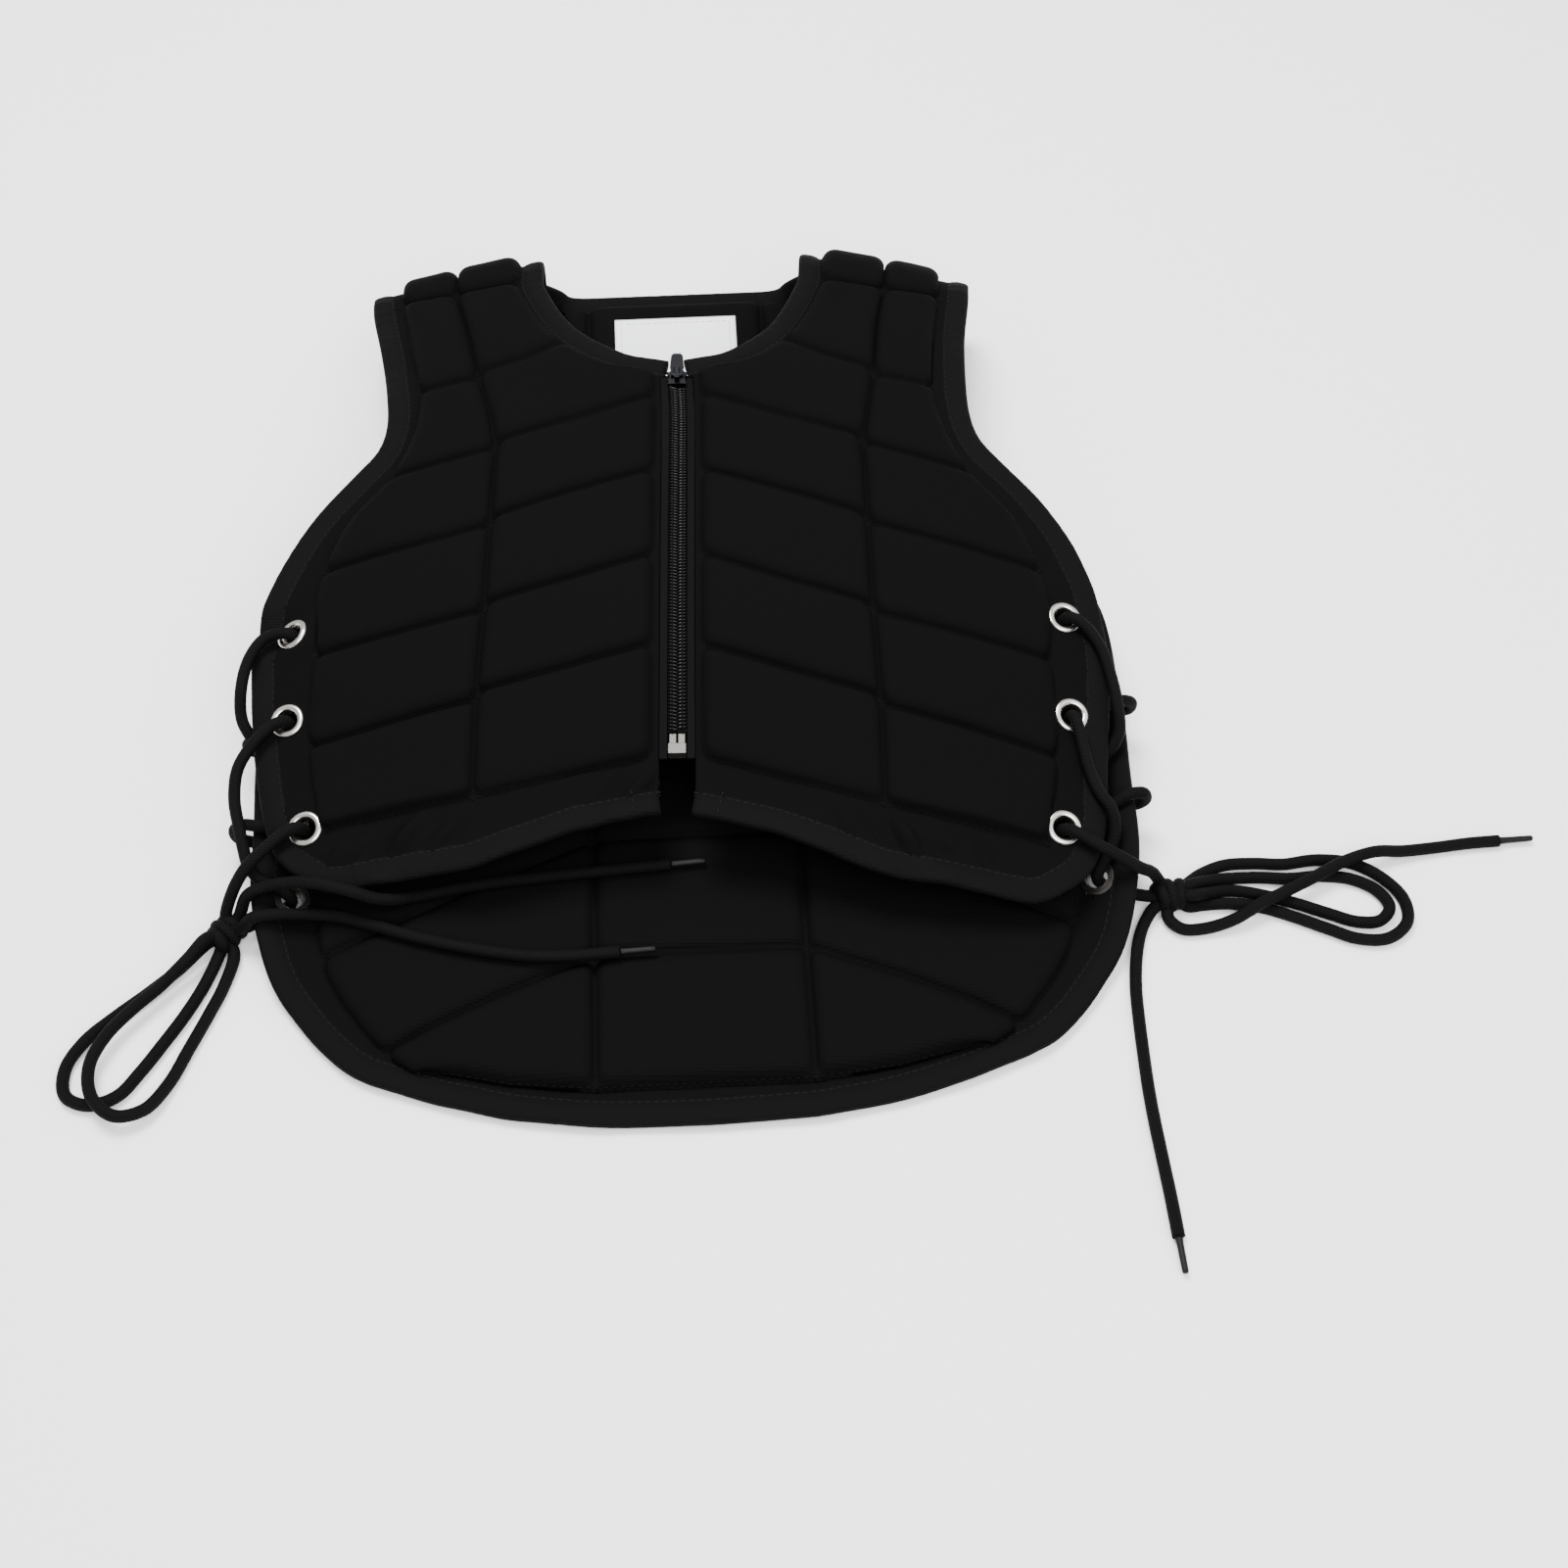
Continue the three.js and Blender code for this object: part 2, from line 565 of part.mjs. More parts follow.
// A panel without what the eyelets and the bindings need; only its largest part is kept

function trimmed(geometry, seated, bindings) {
  const cutters = [...seated, ...bindings].map(toSolid);
  const parts = cutters.reduce((solid, cutter) => solid.subtract(cutter), toSolid(geometry)).decompose();
  return fromSolid(parts.sort((a, b) => b.volume() - a.volume())[0]);
}

// Binding: a folded tape along an edge, lofted through stations that each know the edge's
// place, the way out of the cloth and the tape's own plane

function boundEdge(inside, outside) {
  return outside.map((place, k) => {
    const out = new THREE.Vector3(...place).sub(new THREE.Vector3(...inside[k])).normalize();
    return { place, out: out.toArray() };
  });
}

// Where two edges meet, the tape turns the corner between them

const corner = (first, second) => ({
  place: first.place,
  out: first.out.map((value, k) => value + second.out[k]),
});

function binding(path, room = 0) {
  const reach = BINDING_GAP + BINDING_WIDTH / 2;
  const rings = path.map(({ place, out }, k) => {
    const before = path[Math.max(k - 1, 0)].place;
    const after = path[Math.min(k + 1, path.length - 1)].place;
    const along = new THREE.Vector3(...after).sub(new THREE.Vector3(...before)).normalize();
    const away = new THREE.Vector3(...out);
    away.addScaledVector(along, -away.dot(along)).normalize();
    const face = new THREE.Vector3().crossVectors(along, away);
    const centre = new THREE.Vector3(...place).addScaledVector(away, reach);
    return BINDING_SECTION.map(([across, through]) =>
      centre.clone()
        .addScaledVector(away, across * (BINDING_WIDTH / 2 + room))
        .addScaledVector(face, through * (BINDING_THICKNESS / 2 + room))
        .toArray(),
    );
  });
  return loft(rings);
}

const BINDING_SECTION = [[-1, -1], [0.5, -1], [1, -0.4], [1, 0.4], [0.5, 1], [-1, 1]];

const frontSheets = { right: withNormals(frontSheet(1), 1), left: withNormals(frontSheet(-1), -1) };
const shoulderSheets = { right: withNormals(shoulderSheet(1), 1), left: withNormals(shoulderSheet(-1), -1) };
const back = withNormals(backSheet(), 1);

const places = (line) => line.map(({ place }) => place);
const column = (sheet, j) => sheet.map((line) => line.at(j).place);
const kept = (sheet) => sheet.filter(([{ row }]) => Number.isInteger(row * 4) || row > 7);

function edgeRun(hand) {
  const [front, shoulder] = [kept(frontSheets[hand]), shoulderSheets[hand]];
  const backSide = [...kept(back)].reverse();
  const outer = hand === 'right' ? [-1, -2] : [0, 1];
  const middle = (back[0].length - 1) / 2;
  const half = (line) => (hand === 'right' ? line.slice(middle) : line.slice(0, middle + 1).reverse());
  const hem = boundEdge(places(front[1]), places(front[0]));
  const flap = boundEdge(column(front, -2), column(front, -1));
  const fold = boundEdge(column(shoulder, -2), column(shoulder, -1)).slice(1, -1);
  const side = boundEdge(column(backSide, outer[1]), column(backSide, outer[0]));
  const tail = boundEdge(half(places(back[1])), half(places(back[0]))).reverse();
  return [
    ...hem.slice(0, -1),
    corner(hem.at(-1), flap[0]),
    ...flap.slice(1),
    ...fold,
    ...side.slice(0, -1),
    corner(side.at(-1), tail[0]),
    ...tail.slice(1),
  ];
}

const edgePath = [...edgeRun('right'), ...edgeRun('left').reverse().slice(1)];

function backNeckRun() {
  const [below, top] = back.slice(-2).map(places);
  const middle = (top.length - 1) / 2;
  return boundEdge(below, top).filter((_, j) => Math.abs(j - middle) <= 4);
}

function neckRun(hand, seamEnd) {
  const front = kept(frontSheets[hand]).filter(([{ row }]) => row >= 5.25);
  const shoulder = shoulderSheets[hand];
  const edge = boundEdge(column(front, 1), column(front, 0));
  const sign = hand === 'right' ? 1 : -1;
  const [x, y, z] = edge[0].place;
  const start = { ...edge[0], place: [x - sign * COLLAR_REACH, y, z] };
  const collar = [start, ...edge.slice(1)];
  const fold = boundEdge(column(shoulder, 1), column(shoulder, 0)).slice(1);
  return [...collar, ...fold.slice(0, -1), corner(seamEnd, fold.at(-1))];
}

const backNeck = backNeckRun();
const neckPath = [
  ...neckRun('right', backNeck.at(-1)),
  ...backNeck.slice(1, -1).reverse(),
  ...neckRun('left', backNeck[0]).reverse(),
];

// Zip: everything follows the line where the two front halves meet

const onZip = (y, height = 0) => layFront([0, y, frontMiddle(0, y) + height]);

function alongZip(from, to, steps, section) {
  return loft(Array.from({ length: steps + 1 }, (_, k) => {
    const [x, y, z] = onZip(mix(from, to, k / steps));
    return section.map(([across, up]) => [x + across, y, z + up]);
  }));
}

const row = (number) => frontStations(number)[0][0][1];
const ZIP_HEAD = row(5.25) - CLEARANCE;
const BOX_FOOT = row(1) + 1;
const ZIP_FOOT = BOX_FOOT - 1.5;
const BOX_HEAD = BOX_FOOT + BOX_LENGTH;
const SLIDER_FOOT = ZIP_HEAD - SLIDER_LENGTH + 2;
const COIL_RADIUS = COIL_WIDTH / 2;

function tape(sign) {
  const inner = sign * (COIL_RADIUS + CLEARANCE);
  const outer = sign * (ZIP_EDGE - CLEARANCE);
  const t = TAPE_THICKNESS / 2;
  return alongZip(ZIP_FOOT, ZIP_HEAD, 10, [[inner, -t], [outer, -t], [outer, t], [inner, t]]);
}

function coil() {
  const [w, h] = [COIL_RADIUS, COIL_HEIGHT / 2];
  const under = [[-w, -h / 2], [-w / 2, -h], [w / 2, -h], [w, -h / 2]];
  const over = [[w, h / 2], [w / 2, h], [-w / 2, h], [-w, h / 2]];
  const section = [...under, ...over];
  return alongZip(BOX_HEAD + CLEARANCE, SLIDER_FOOT - CLEARANCE, 10, section);
}

const box = (width, length, height, x, y, z) =>
  new THREE.BoxGeometry(width, length, height).translate(x, y, z);

function joined(geometries) {
  return fromSolid(geometries.map(toSolid).reduce((sum, solid) => sum.add(solid)));
}

function zipBox() {
  const plate = box(BOX_WIDTH, BOX_PLATE, BOX_HEIGHT, 0, BOX_PLATE / 2, 0);
  const pins = [-1, 1].map((sign) =>
    box(BOX_WIDTH * 0.38, BOX_LENGTH, BOX_HEIGHT * 0.7, sign * BOX_WIDTH * 0.24, BOX_LENGTH * 0.5, 0));
  return joined([plate, ...pins]);
}

// The slider: a plate that is widest at its shoulders over one like it, a core between them
// and a bridge on top that holds the pull's crossbar

function sliderPlate(bottom) {
  const [w, l] = [SLIDER_WIDTH / 2, SLIDER_LENGTH];
  const outline = new THREE.Shape();
  outline.moveTo(-w * 0.78, 0);
  outline.lineTo(w * 0.78, 0);
  outline.lineTo(w * 0.64, l * 0.36);
  outline.lineTo(w * 0.72, l * 0.56);
  outline.lineTo(w, l * 0.8);
  outline.lineTo(w * 0.66, l * 0.78);
  outline.lineTo(w * 0.5, l);
  outline.lineTo(-w * 0.5, l);
  outline.lineTo(-w * 0.66, l * 0.78);
  outline.lineTo(-w, l * 0.8);
  outline.lineTo(-w * 0.72, l * 0.56);
  outline.lineTo(-w * 0.64, l * 0.36);
  outline.closePath();
  const extruded = new THREE.ExtrudeGeometry(outline, { depth: SLIDER_PLATE, bevelEnabled: false });
  return extruded.translate(0, 0, bottom);
}

const SLIDER_MOUTH = COIL_HEIGHT + 2 * CLEARANCE; // inside height between the two plates
const SLIDER_TOP = SLIDER_MOUTH / 2 + SLIDER_PLATE;
const BRIDGE_SPAN = SLIDER_LENGTH * 0.72;
const HINGE_Y = SLIDER_LENGTH * 0.45;
const HINGE_Z = SLIDER_TOP + (BRIDGE_HEIGHT - BRIDGE_BAR) / 2;

function slider() {
  const low = HINGE_Y - BRIDGE_SPAN / 2;
  const legs = [low + BRIDGE_BAR / 2, low + BRIDGE_SPAN - BRIDGE_BAR / 2].map((y) =>
    box(BRIDGE_WIDTH, BRIDGE_BAR, BRIDGE_HEIGHT, 0, y, SLIDER_TOP + BRIDGE_HEIGHT / 2 - 0.1));
  const barZ = SLIDER_TOP + BRIDGE_HEIGHT - BRIDGE_BAR / 2 - 0.1;
  const bar = box(BRIDGE_WIDTH, BRIDGE_SPAN, BRIDGE_BAR, 0, HINGE_Y, barZ);
  const core = box(SLIDER_WIDTH * 0.45, SLIDER_LENGTH * 0.8, SLIDER_MOUTH + 1, 0, SLIDER_LENGTH * 0.44, 0);
  return joined([sliderPlate(-SLIDER_TOP), sliderPlate(SLIDER_MOUTH / 2), core, ...legs, bar]);
}

// The pull: a tab with two arms either side of the bridge and a crossbar under it

function pull() {
  const clear = BRIDGE_WIDTH / 2 + CLEARANCE + 0.2;
  const reach = BRIDGE_SPAN / 2 + 1;
  const arms = [-1, 1].map((sign) =>
    box(PULL_ARM, reach + 1, PULL_THICKNESS, sign * (clear + PULL_ARM / 2), reach / 2, 0));
  const cross = new THREE.CylinderGeometry(PULL_THICKNESS / 2, PULL_THICKNESS / 2, 2 * (clear + PULL_ARM), 8);
  cross.rotateZ(Math.PI / 2);
  const outline = new THREE.Shape();
  outline.moveTo(-PULL_WIDTH / 2, reach);
  outline.lineTo(PULL_WIDTH / 2, reach);
  outline.lineTo(PULL_WIDTH * 0.42, PULL_LENGTH - 1.6);
  outline.lineTo(PULL_WIDTH * 0.26, PULL_LENGTH);
  outline.lineTo(-PULL_WIDTH * 0.26, PULL_LENGTH);
  outline.lineTo(-PULL_WIDTH * 0.42, PULL_LENGTH - 1.6);
  outline.closePath();
  const tab = new THREE.ExtrudeGeometry(outline, { depth: PULL_THICKNESS, bevelEnabled: false });
  tab.translate(0, 0, -PULL_THICKNESS / 2);
  return joined([tab, cross, ...arms]);
}

// The blank label, sewn to the inside of the back just below the neck

function label() {
  const heights = [8 - NOTCH, 8 + NOTCH, 9 - NOTCH].map((line) => {
    const y = (lookUp(BACK_ROWS, line, 'centre') * BACK_LENGTH) / 100;
    return { row: y, height: backMiddle(0, y) };
  });
  const top = (lookUp(BACK_ROWS, lastRow, 'centre') * BACK_LENGTH) / 100 - LABEL_DROP;
  const stations = [top - LABEL_HEIGHT, heights[0].row, heights[1].row, top];
  return loft(stations.map((y) => {
    const face = lookUp(heights, Math.max(y, heights[0].row), 'height') + FOAM / 2 + LABEL_LIFT;
    return [[-1, 0], [1, 0], [1, LABEL_THICKNESS], [-1, LABEL_THICKNESS]].map(([side, up]) =>
      layBack([(side * LABEL_WIDTH) / 2, y, face + up]));
  }));
}

const rooms = (all) => all.map((seat) => seated(eyeletRoom(), seat));
const bindingRooms = [edgePath, neckPath].map((path) => binding(path, CLEARANCE / 3));
const frontPanel = (hand, all) => trimmed(panel(frontSheets[hand]), rooms(all), bindingRooms);

// Laces. Each route's points are places of the cord's centre, with the same axes as the
// garment but before its origin is set. A run is threaded through the six eyelets of a side,
// from the knot up and back to it; the loops and tails are the bow.

const ROUTES = {
  lace_right_run: [
    [207.7, -133.2, 13], [204, -134, 20], [198, -135.5, 26], [190.5, -133.5, 30.5], [182, -129.5, 33],
    [171.9, -123, 34.5], [168.5, -120.8, 34.1], [166.5, -119.2, 32.2], [165.1, -117.4, 27.4],
    [167, -115.2, 24.2],
    [177, -108.5, 21.5], [189, -102, 24.6], [197, -99, 28.7], [203.2, -98, 28.4], [205.2, -97, 22],
    [200.5, -94.5, 14.6], [191.5, -86, 11.5], [187.8, -83.4, 11.6], [185.3, -82.3, 13.5],
    [183, -82.2, 17.6],
    [183.2, -80.9, 21], [186, -78.2, 24.8], [191.5, -74.5, 29], [195.2, -69, 34.5], [194.8, -60.5, 40.6],
    [193, -47, 44.6], [189.3, -30, 46.8], [182.5, -18.8, 49], [178, -15.2, 49.2], [175.4, -13.7, 47],
    [173.8, -13, 42], [174, -17, 36.5], [176.5, -27, 26], [179.6, -34.6, 20.2], [181.4, -36.8, 17.2],
    [183.4, -36.9, 13.4], [186.4, -37.6, 11.6], [195.5, -41, 13.2], [203.6, -45, 19.5], [203.8, -47, 27],
    [198.5, -48.8, 30.7], [187, -53.5, 29.8], [177, -59, 31.6], [174.3, -61.3, 33.2], [173.2, -62.8, 35.9],
    [174, -63.9, 40.2], [175, -67.2, 42.5], [176.5, -75, 41.2], [179, -91, 38], [182.8, -103, 36.2],
    [187.4, -110.5, 34.3],
    [188.9, -117.2, 28.5], [187, -123.5, 22.8], [183.6, -128.8, 21.2], [180.9, -132.8, 15.9],
    [183.2, -132.9, 10.3],
    [186, -133.8, 8.4], [195, -136.5, 7.6], [204.3, -138.2, 7.2],
  ],
  lace_left_run: [
    [-195, -142.2, 12.9], [-192.5, -138.5, 19], [-189, -134.5, 25], [-184.5, -130, 30],
    [-179, -124.5, 32.3],
    [-168.4, -115.3, 34.6], [-164.9, -113, 34.2], [-163, -111.4, 31.3], [-161.5, -109.8, 26.8],
    [-163.5, -107.5, 23.6],
    [-173, -104.5, 21.8], [-184, -104, 23], [-190, -103.8, 24], [-194.8, -103.6, 19.5],
    [-194, -103.3, 12.5],
    [-185.5, -102.5, 7.9], [-176.5, -101, 7], [-173.2, -99.4, 7.4], [-171.1, -98.6, 9.3],
    [-169.4, -98.5, 13.9],
    [-169.5, -96.6, 16.6], [-172, -90, 19.5], [-180, -74, 24.5], [-190, -61, 27.6], [-195, -53, 33],
    [-195, -42, 41.5], [-192.5, -28, 44.8], [-187, -17.5, 45.8], [-181.5, -14.6, 46], [-178, -14.4, 46.2],
    [-174.9, -14.4, 45], [-172.2, -14.6, 40.2], [-171, -19, 34], [-170.4, -32, 23.5], [-170.8, -43.3, 18.3],
    [-171.5, -48, 15.6], [-173.5, -49.7, 9.6], [-176.4, -50.4, 7.4], [-185, -52.5, 8],
    [-193.6, -55.5, 12.5],
    [-194.4, -57, 20], [-188, -58, 24.4], [-177.7, -56.4, 28.8], [-174.4, -56.7, 30.6],
    [-172.7, -57.4, 33.4],
    [-173.9, -58.5, 38.4], [-175.9, -60, 40], [-179.5, -62.6, 40.3], [-186, -70, 39.2], [-192.6, -82, 36],
    [-193.4, -95, 32], [-190.5, -108, 29.8], [-187.8, -118, 27], [-185, -126, 25], [-180, -131.6, 22.6],
    [-173.5, -133.8, 19.6], [-169.3, -135.4, 17.4], [-167.5, -135.9, 13.8], [-168.9, -136, 8.8],
    [-171.6, -137, 7], [-179, -141, 6.6],
    [-187, -145.8, 6.9],
  ],
  lace_right_loop_upper: [
    [220.3, -131.6, 4], [229, -124.5, 2.8], [240, -120, 2.8], [253, -119.3, 2.8], [266, -120, 2.8],
    [281, -118, 2.8],
    [296, -120, 2.8], [308, -127.5, 2.8], [316, -139, 2.8], [315.5, -151, 2.8], [306, -159, 2.8],
    [293, -159, 2.8],
    [280, -153.5, 2.8], [267, -147.5, 2.8], [254, -142.5, 2.8], [240, -140, 2.8], [228, -140.5, 2.8],
    [221.3, -141.5, 3.4],
  ],
  lace_right_loop_lower: [
    [222, -134.4, 9.8], [230, -130.5, 6.5], [241, -127.3, 3.2], [254, -126.8, 2.8], [268, -127.6, 2.8],
    [282, -126.6, 2.8], [295, -128.5, 2.8], [305, -134.5, 2.8], [309.3, -143, 2.8], [304, -150, 2.8],
    [294, -150.5, 2.8], [282, -146, 2.8], [268, -140.3, 2.8], [254, -135.8, 2.8], [241, -133.6, 3.2],
    [230.5, -136.6, 6.5], [223, -139.7, 9.9],
  ],
  lace_right_tail_long: [
    [211.5, -147.4, 4.4], [217, -152.5, 3], [227, -152.5, 2.8], [240, -149.5, 5], [253, -143, 8.2],
    [266, -136.5, 8.3],
    [279, -129.5, 8.3], [292, -122.5, 8.4], [306, -117.5, 7.8], [320, -115, 4.2], [335, -112.6, 2.8],
    [350, -110.6, 2.8], [364, -109.5, 2.8],
  ],
  lace_right_tail_short: [
    [205.8, -142.6, 4], [200, -152, 2.8], [196, -166, 2.8], [194, -181, 2.8], [193.5, -197, 2.8],
    [193.5, -213, 2.8],
    [193.7, -229, 2.8], [194.5, -245, 2.8], [195.7, -261, 2.8], [197, -278, 2.8], [198, -295, 2.8],
  ],
  lace_left_loop_outer: [
    [-203.9, -152.5, 4.5], [-214, -163.5, 2.8], [-226, -175.5, 2.8], [-238, -186.5, 2.8], [-249, -198, 2.8],
    [-255, -211, 2.8], [-253, -223.5, 2.8], [-243, -228, 2.8], [-231.5, -224, 2.8], [-223.5, -213, 2.8],
    [-216, -200, 2.8], [-209, -187, 2.8], [-202.5, -172, 2.8], [-197.6, -157.8, 4.5],
  ],
  lace_left_loop_inner: [
    [-202, -154.3, 12.4], [-209, -163, 10.5], [-219, -174.5, 8.3], [-229.5, -186, 8.3], [-239, -199, 8.3],
    [-243.5, -213, 8.3], [-240, -227.5, 8.3], [-230, -235.5, 7.5], [-219, -232, 5.5], [-211, -219, 3.2],
    [-205, -203, 2.8], [-199, -187, 2.8], [-194, -172, 2.8], [-191.4, -157.3, 4],
  ],
  lace_left_tail_upper: [
    [-189.4, -143.3, 12.2], [-184.6, -139, 21.6], [-176, -137, 25.4], [-165, -138, 29.6],
    [-153, -141, 33.6],
    [-140, -144.5, 33.2], [-126, -145, 26], [-112, -139, 18.6], [-96, -134.5, 17], [-78, -131.5, 17],
    [-60, -129.5, 17],
    [-42, -127.5, 17], [-22, -125.5, 17], [-4, -123.7, 17],
  ],
  lace_left_tail_lower: [
    [-187.4, -149.3, 12.4], [-181.4, -149, 19.8], [-173, -148, 20.2], [-161, -146.5, 17.6],
    [-147, -147.5, 17], [-131, -152, 17],
    [-115, -157.5, 17], [-97, -162.5, 17], [-79, -166.5, 17], [-61, -169, 17], [-43, -169, 17],
    [-25, -167.6, 17],
  ],
};
const KNOTS = {
  knot_right: [213, -138, 7.4],
  knot_left: [-195.5, -149, 7.4],
};

class Route extends THREE.CatmullRomCurve3 {
  getPointAt(t, target) {
    return this.getPoint(t, target);
  }

  getTangentAt(t, target) {
    return this.getTangent(t, target);
  }
}

const round = (radius, sides) =>
  new THREE.Shape(Array.from({ length: sides }, (_, k) => {
    const angle = ((k + 0.5) * 2 * Math.PI) / sides;
    return new THREE.Vector2(radius * Math.cos(angle), radius * Math.sin(angle));
  }));

function tube(points, diameter) {
  const route = new Route(points.map((point) => new THREE.Vector3(...point)));
  const shape = round(diameter / 2, LACE_SIDES);
  return new THREE.ExtrudeGeometry(shape, { extrudePath: route, steps: points.length - 1 });
}

function tag(points) {
  const [before, end] = points.slice(-2).map((point) => new THREE.Vector3(...point));
  const along = end.clone().sub(before).setZ(0).normalize();
  const start = end.clone().addScaledVector(along, CLEARANCE);
  const tip = start.clone().addScaledVector(along, TAG_LENGTH);
  return tube([start, start.clone().lerp(tip, 0.5), tip].map((point) => point.toArray()), TAG_DIAMETER);
}

function knot(centre) {
  return new THREE.SphereGeometry(1, 12, 8).rotateX(Math.PI / 2).scale(...KNOT).translate(...centre);
}

const garment = new THREE.Group();
garment.add(
  piece('back_panel', trimmed(panel(back), rooms(backSeats), bindingRooms), SHELL_CLOTH),
  piece('front_panel_right', frontPanel('right', frontSeats.slice(0, 3)), SHELL_CLOTH),
  piece('front_panel_left', frontPanel('left', frontSeats.slice(3)), SHELL_CLOTH),
  piece('shoulder_right', trimmed(panel(shoulderSheets.right), [panel(back)], bindingRooms), SHELL_CLOTH),
  piece('shoulder_left', trimmed(panel(shoulderSheets.left), [panel(back)], bindingRooms), SHELL_CLOTH),
  piece('edge_binding', binding(edgePath), BINDING_TAPE),
  piece('neck_binding', binding(neckPath), BINDING_TAPE),
  piece('zip_tape_right', tape(1), BINDING_TAPE),
  piece('zip_tape_left', tape(-1), BINDING_TAPE),
  piece('zip_coil', coil(), ZIP_NYLON),
  piece('zip_bottom_box', zipBox().translate(...onZip(BOX_FOOT)), NICKEL),
  piece('zip_slider', slider().translate(...onZip(SLIDER_FOOT)), GUNMETAL),
  piece('zip_pull', pull().translate(...onZip(SLIDER_FOOT, HINGE_Z)).translate(0, HINGE_Y, 0), GUNMETAL),
  piece('neck_label', label(), LABEL_SATIN),
  ...Object.entries(ROUTES).map(([name, points]) => piece(name, tube(points, LACE_DIAMETER), LACE_BRAID)),
  ...Object.entries(ROUTES).filter(([name]) => name.includes('tail')).map(([name, points]) =>
    piece(name.replace('lace', 'tag'), tag(points), TAG_FILM)),
  ...Object.entries(KNOTS).map(([name, centre]) => piece(name, knot(centre), LACE_BRAID)),
  ...frontSeats.map((seat) => piece(`eyelet_front_${seat.name}`, seated(eyeletForm(), seat), NICKEL)),
  ...backSeats.map((seat) => piece(`eyelet_back_${seat.name}`, seated(eyeletForm(), seat), NICKEL)),
);

// The origin goes under the middle of the garment, which lies on its pads

const bounds = new THREE.Box3();
const fixed = garment.children.filter(({ name }) => !/lace|tag|knot/.test(name));
fixed.forEach((mesh) => bounds.expandByObject(mesh));
const middle = bounds.getCenter(new THREE.Vector3());
garment.children.forEach((mesh) => mesh.geometry.translate(-middle.x, -middle.y, -Math.min(bounds.min.z, 0)));

export default garment;
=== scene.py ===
"""The looks of a child's riding body protector, built over its CAD frame.

Lengths are millimetres until they reach Blender. The garment is worked out in the axes of
its own drawing and moved to the frame's axes by OFFSET, which is read from the frame.
"""

import math

import bpy
import numpy as np
from mathutils import Matrix, Vector


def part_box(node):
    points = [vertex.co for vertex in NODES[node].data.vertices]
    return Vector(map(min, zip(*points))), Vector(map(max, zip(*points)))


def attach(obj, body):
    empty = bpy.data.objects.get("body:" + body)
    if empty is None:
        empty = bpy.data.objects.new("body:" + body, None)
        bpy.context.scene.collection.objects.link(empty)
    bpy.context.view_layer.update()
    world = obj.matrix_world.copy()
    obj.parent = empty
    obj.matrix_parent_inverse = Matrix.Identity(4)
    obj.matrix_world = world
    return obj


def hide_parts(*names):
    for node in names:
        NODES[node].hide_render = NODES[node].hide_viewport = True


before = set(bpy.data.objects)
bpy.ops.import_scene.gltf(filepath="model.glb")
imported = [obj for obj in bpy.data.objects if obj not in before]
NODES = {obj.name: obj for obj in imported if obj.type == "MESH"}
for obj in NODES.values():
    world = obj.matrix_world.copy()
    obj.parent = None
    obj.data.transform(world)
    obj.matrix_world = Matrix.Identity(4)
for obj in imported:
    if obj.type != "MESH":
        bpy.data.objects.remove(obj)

bl_info = {
    "name": "Riding body protector",
    "version": (1, 0, 0),
    "blender": (4, 5, 0),
    "location": "3D Viewport > Sidebar > Garment",
    "description": "Builds a quilted riding vest with laced sides over its CAD frame",
    "category": "Add Mesh",
}

MM = 0.001
UP = np.array([0, 0, 1.0])
HANDS = {"right": 1, "left": -1}

# Cloth and foam

FOAM_HALF = 7.0
SEAM_HALF = 1.1
CLOTH_HALF = 1.2
BLOCK_ROUND = 7.5
BLOCK_CORNER = 2.6
PLEAT_DEPTH = 0.05
HOLE_GAP = 0.9

# Front

FRONT_HALF = 186.0
FRONT_LENGTH = 340.0
ZIP_EDGE = 8.0
ZIP_MARGIN = 3.0
SEAM_JOG = 4.0
SIDE_FALL = 20.0
SIDE_CURVE = 2.2
STRIP_FOLDS = 3.0
RIGHT_FLAP_TRIM = 4.0

# Back

BACK_HALF = 187.0
BACK_LENGTH = 465.0
CENTRE_BLOCK = 45.5
EDGE_LIFT_RIGHT = 16.0
EDGE_LIFT_LEFT = 10.0
TAIL_DROOP = 3.0

# Shoulders

FOLD_DEPTH = 22.0
FOLD_CENTRE = 200.0
FOLD_SLANT = 0.2
SHOULDER_MIDDLE = 112.0
FOLD_TURN = math.radians(110)
SHOULDER_SPREAD = 1.03
NECK_LIFT = 6.0

# How the garment happens to lie

BACK_TURN = 0.0357
BACK_SHIFT = 3.2
SHOULDER_SHIFT = -5.0
HEM_TILT = 0.04
FLAP_SHIFT = 2.5

# Trim

BINDING_WIDTH = 9.0
BINDING_THICKNESS = 5.2
BINDING_LAP = 3.0
BINDING_SEAM = 1.5
TAPE_STEP = 2.2
COLLAR_REACH = 3.0
COLLAR_ROW = 5.25
NAPE_HALF = 64.0
BARTACK_INSET = 10.0
FLOOR_GAP = 0.2
EYELET_RADIUS = 8.0
EYELET_BORE = 4.5
SEAT_FLAT = 9.0
SEAT_BLEND = 8.0
STITCH_LENGTH = 2.6
STITCH_PITCH = 3.6
STITCH_WIDTH = 0.45
COIL_WIDTH = 8.2
COIL_HEIGHT = 2.6
TURN_PLACE = 0.235 * COIL_WIDTH
TURN_LENGTH = 0.52 * COIL_WIDTH
TURN_HALF = 0.52
THREAD_PLACE = 0.27 * COIL_WIDTH
THREAD_DIAMETER = 0.8
BACKING_DROP = 3.6
TOOTH_PITCH = 1.7
LABEL_WIDTH = 63.0
LABEL_HEIGHT = 50.0
LABEL_DROP = 14.0
LACE_DIAMETER = 5.0
BRAID_FULLNESS = 0.4
LACE_ON_FLOOR = 2.8
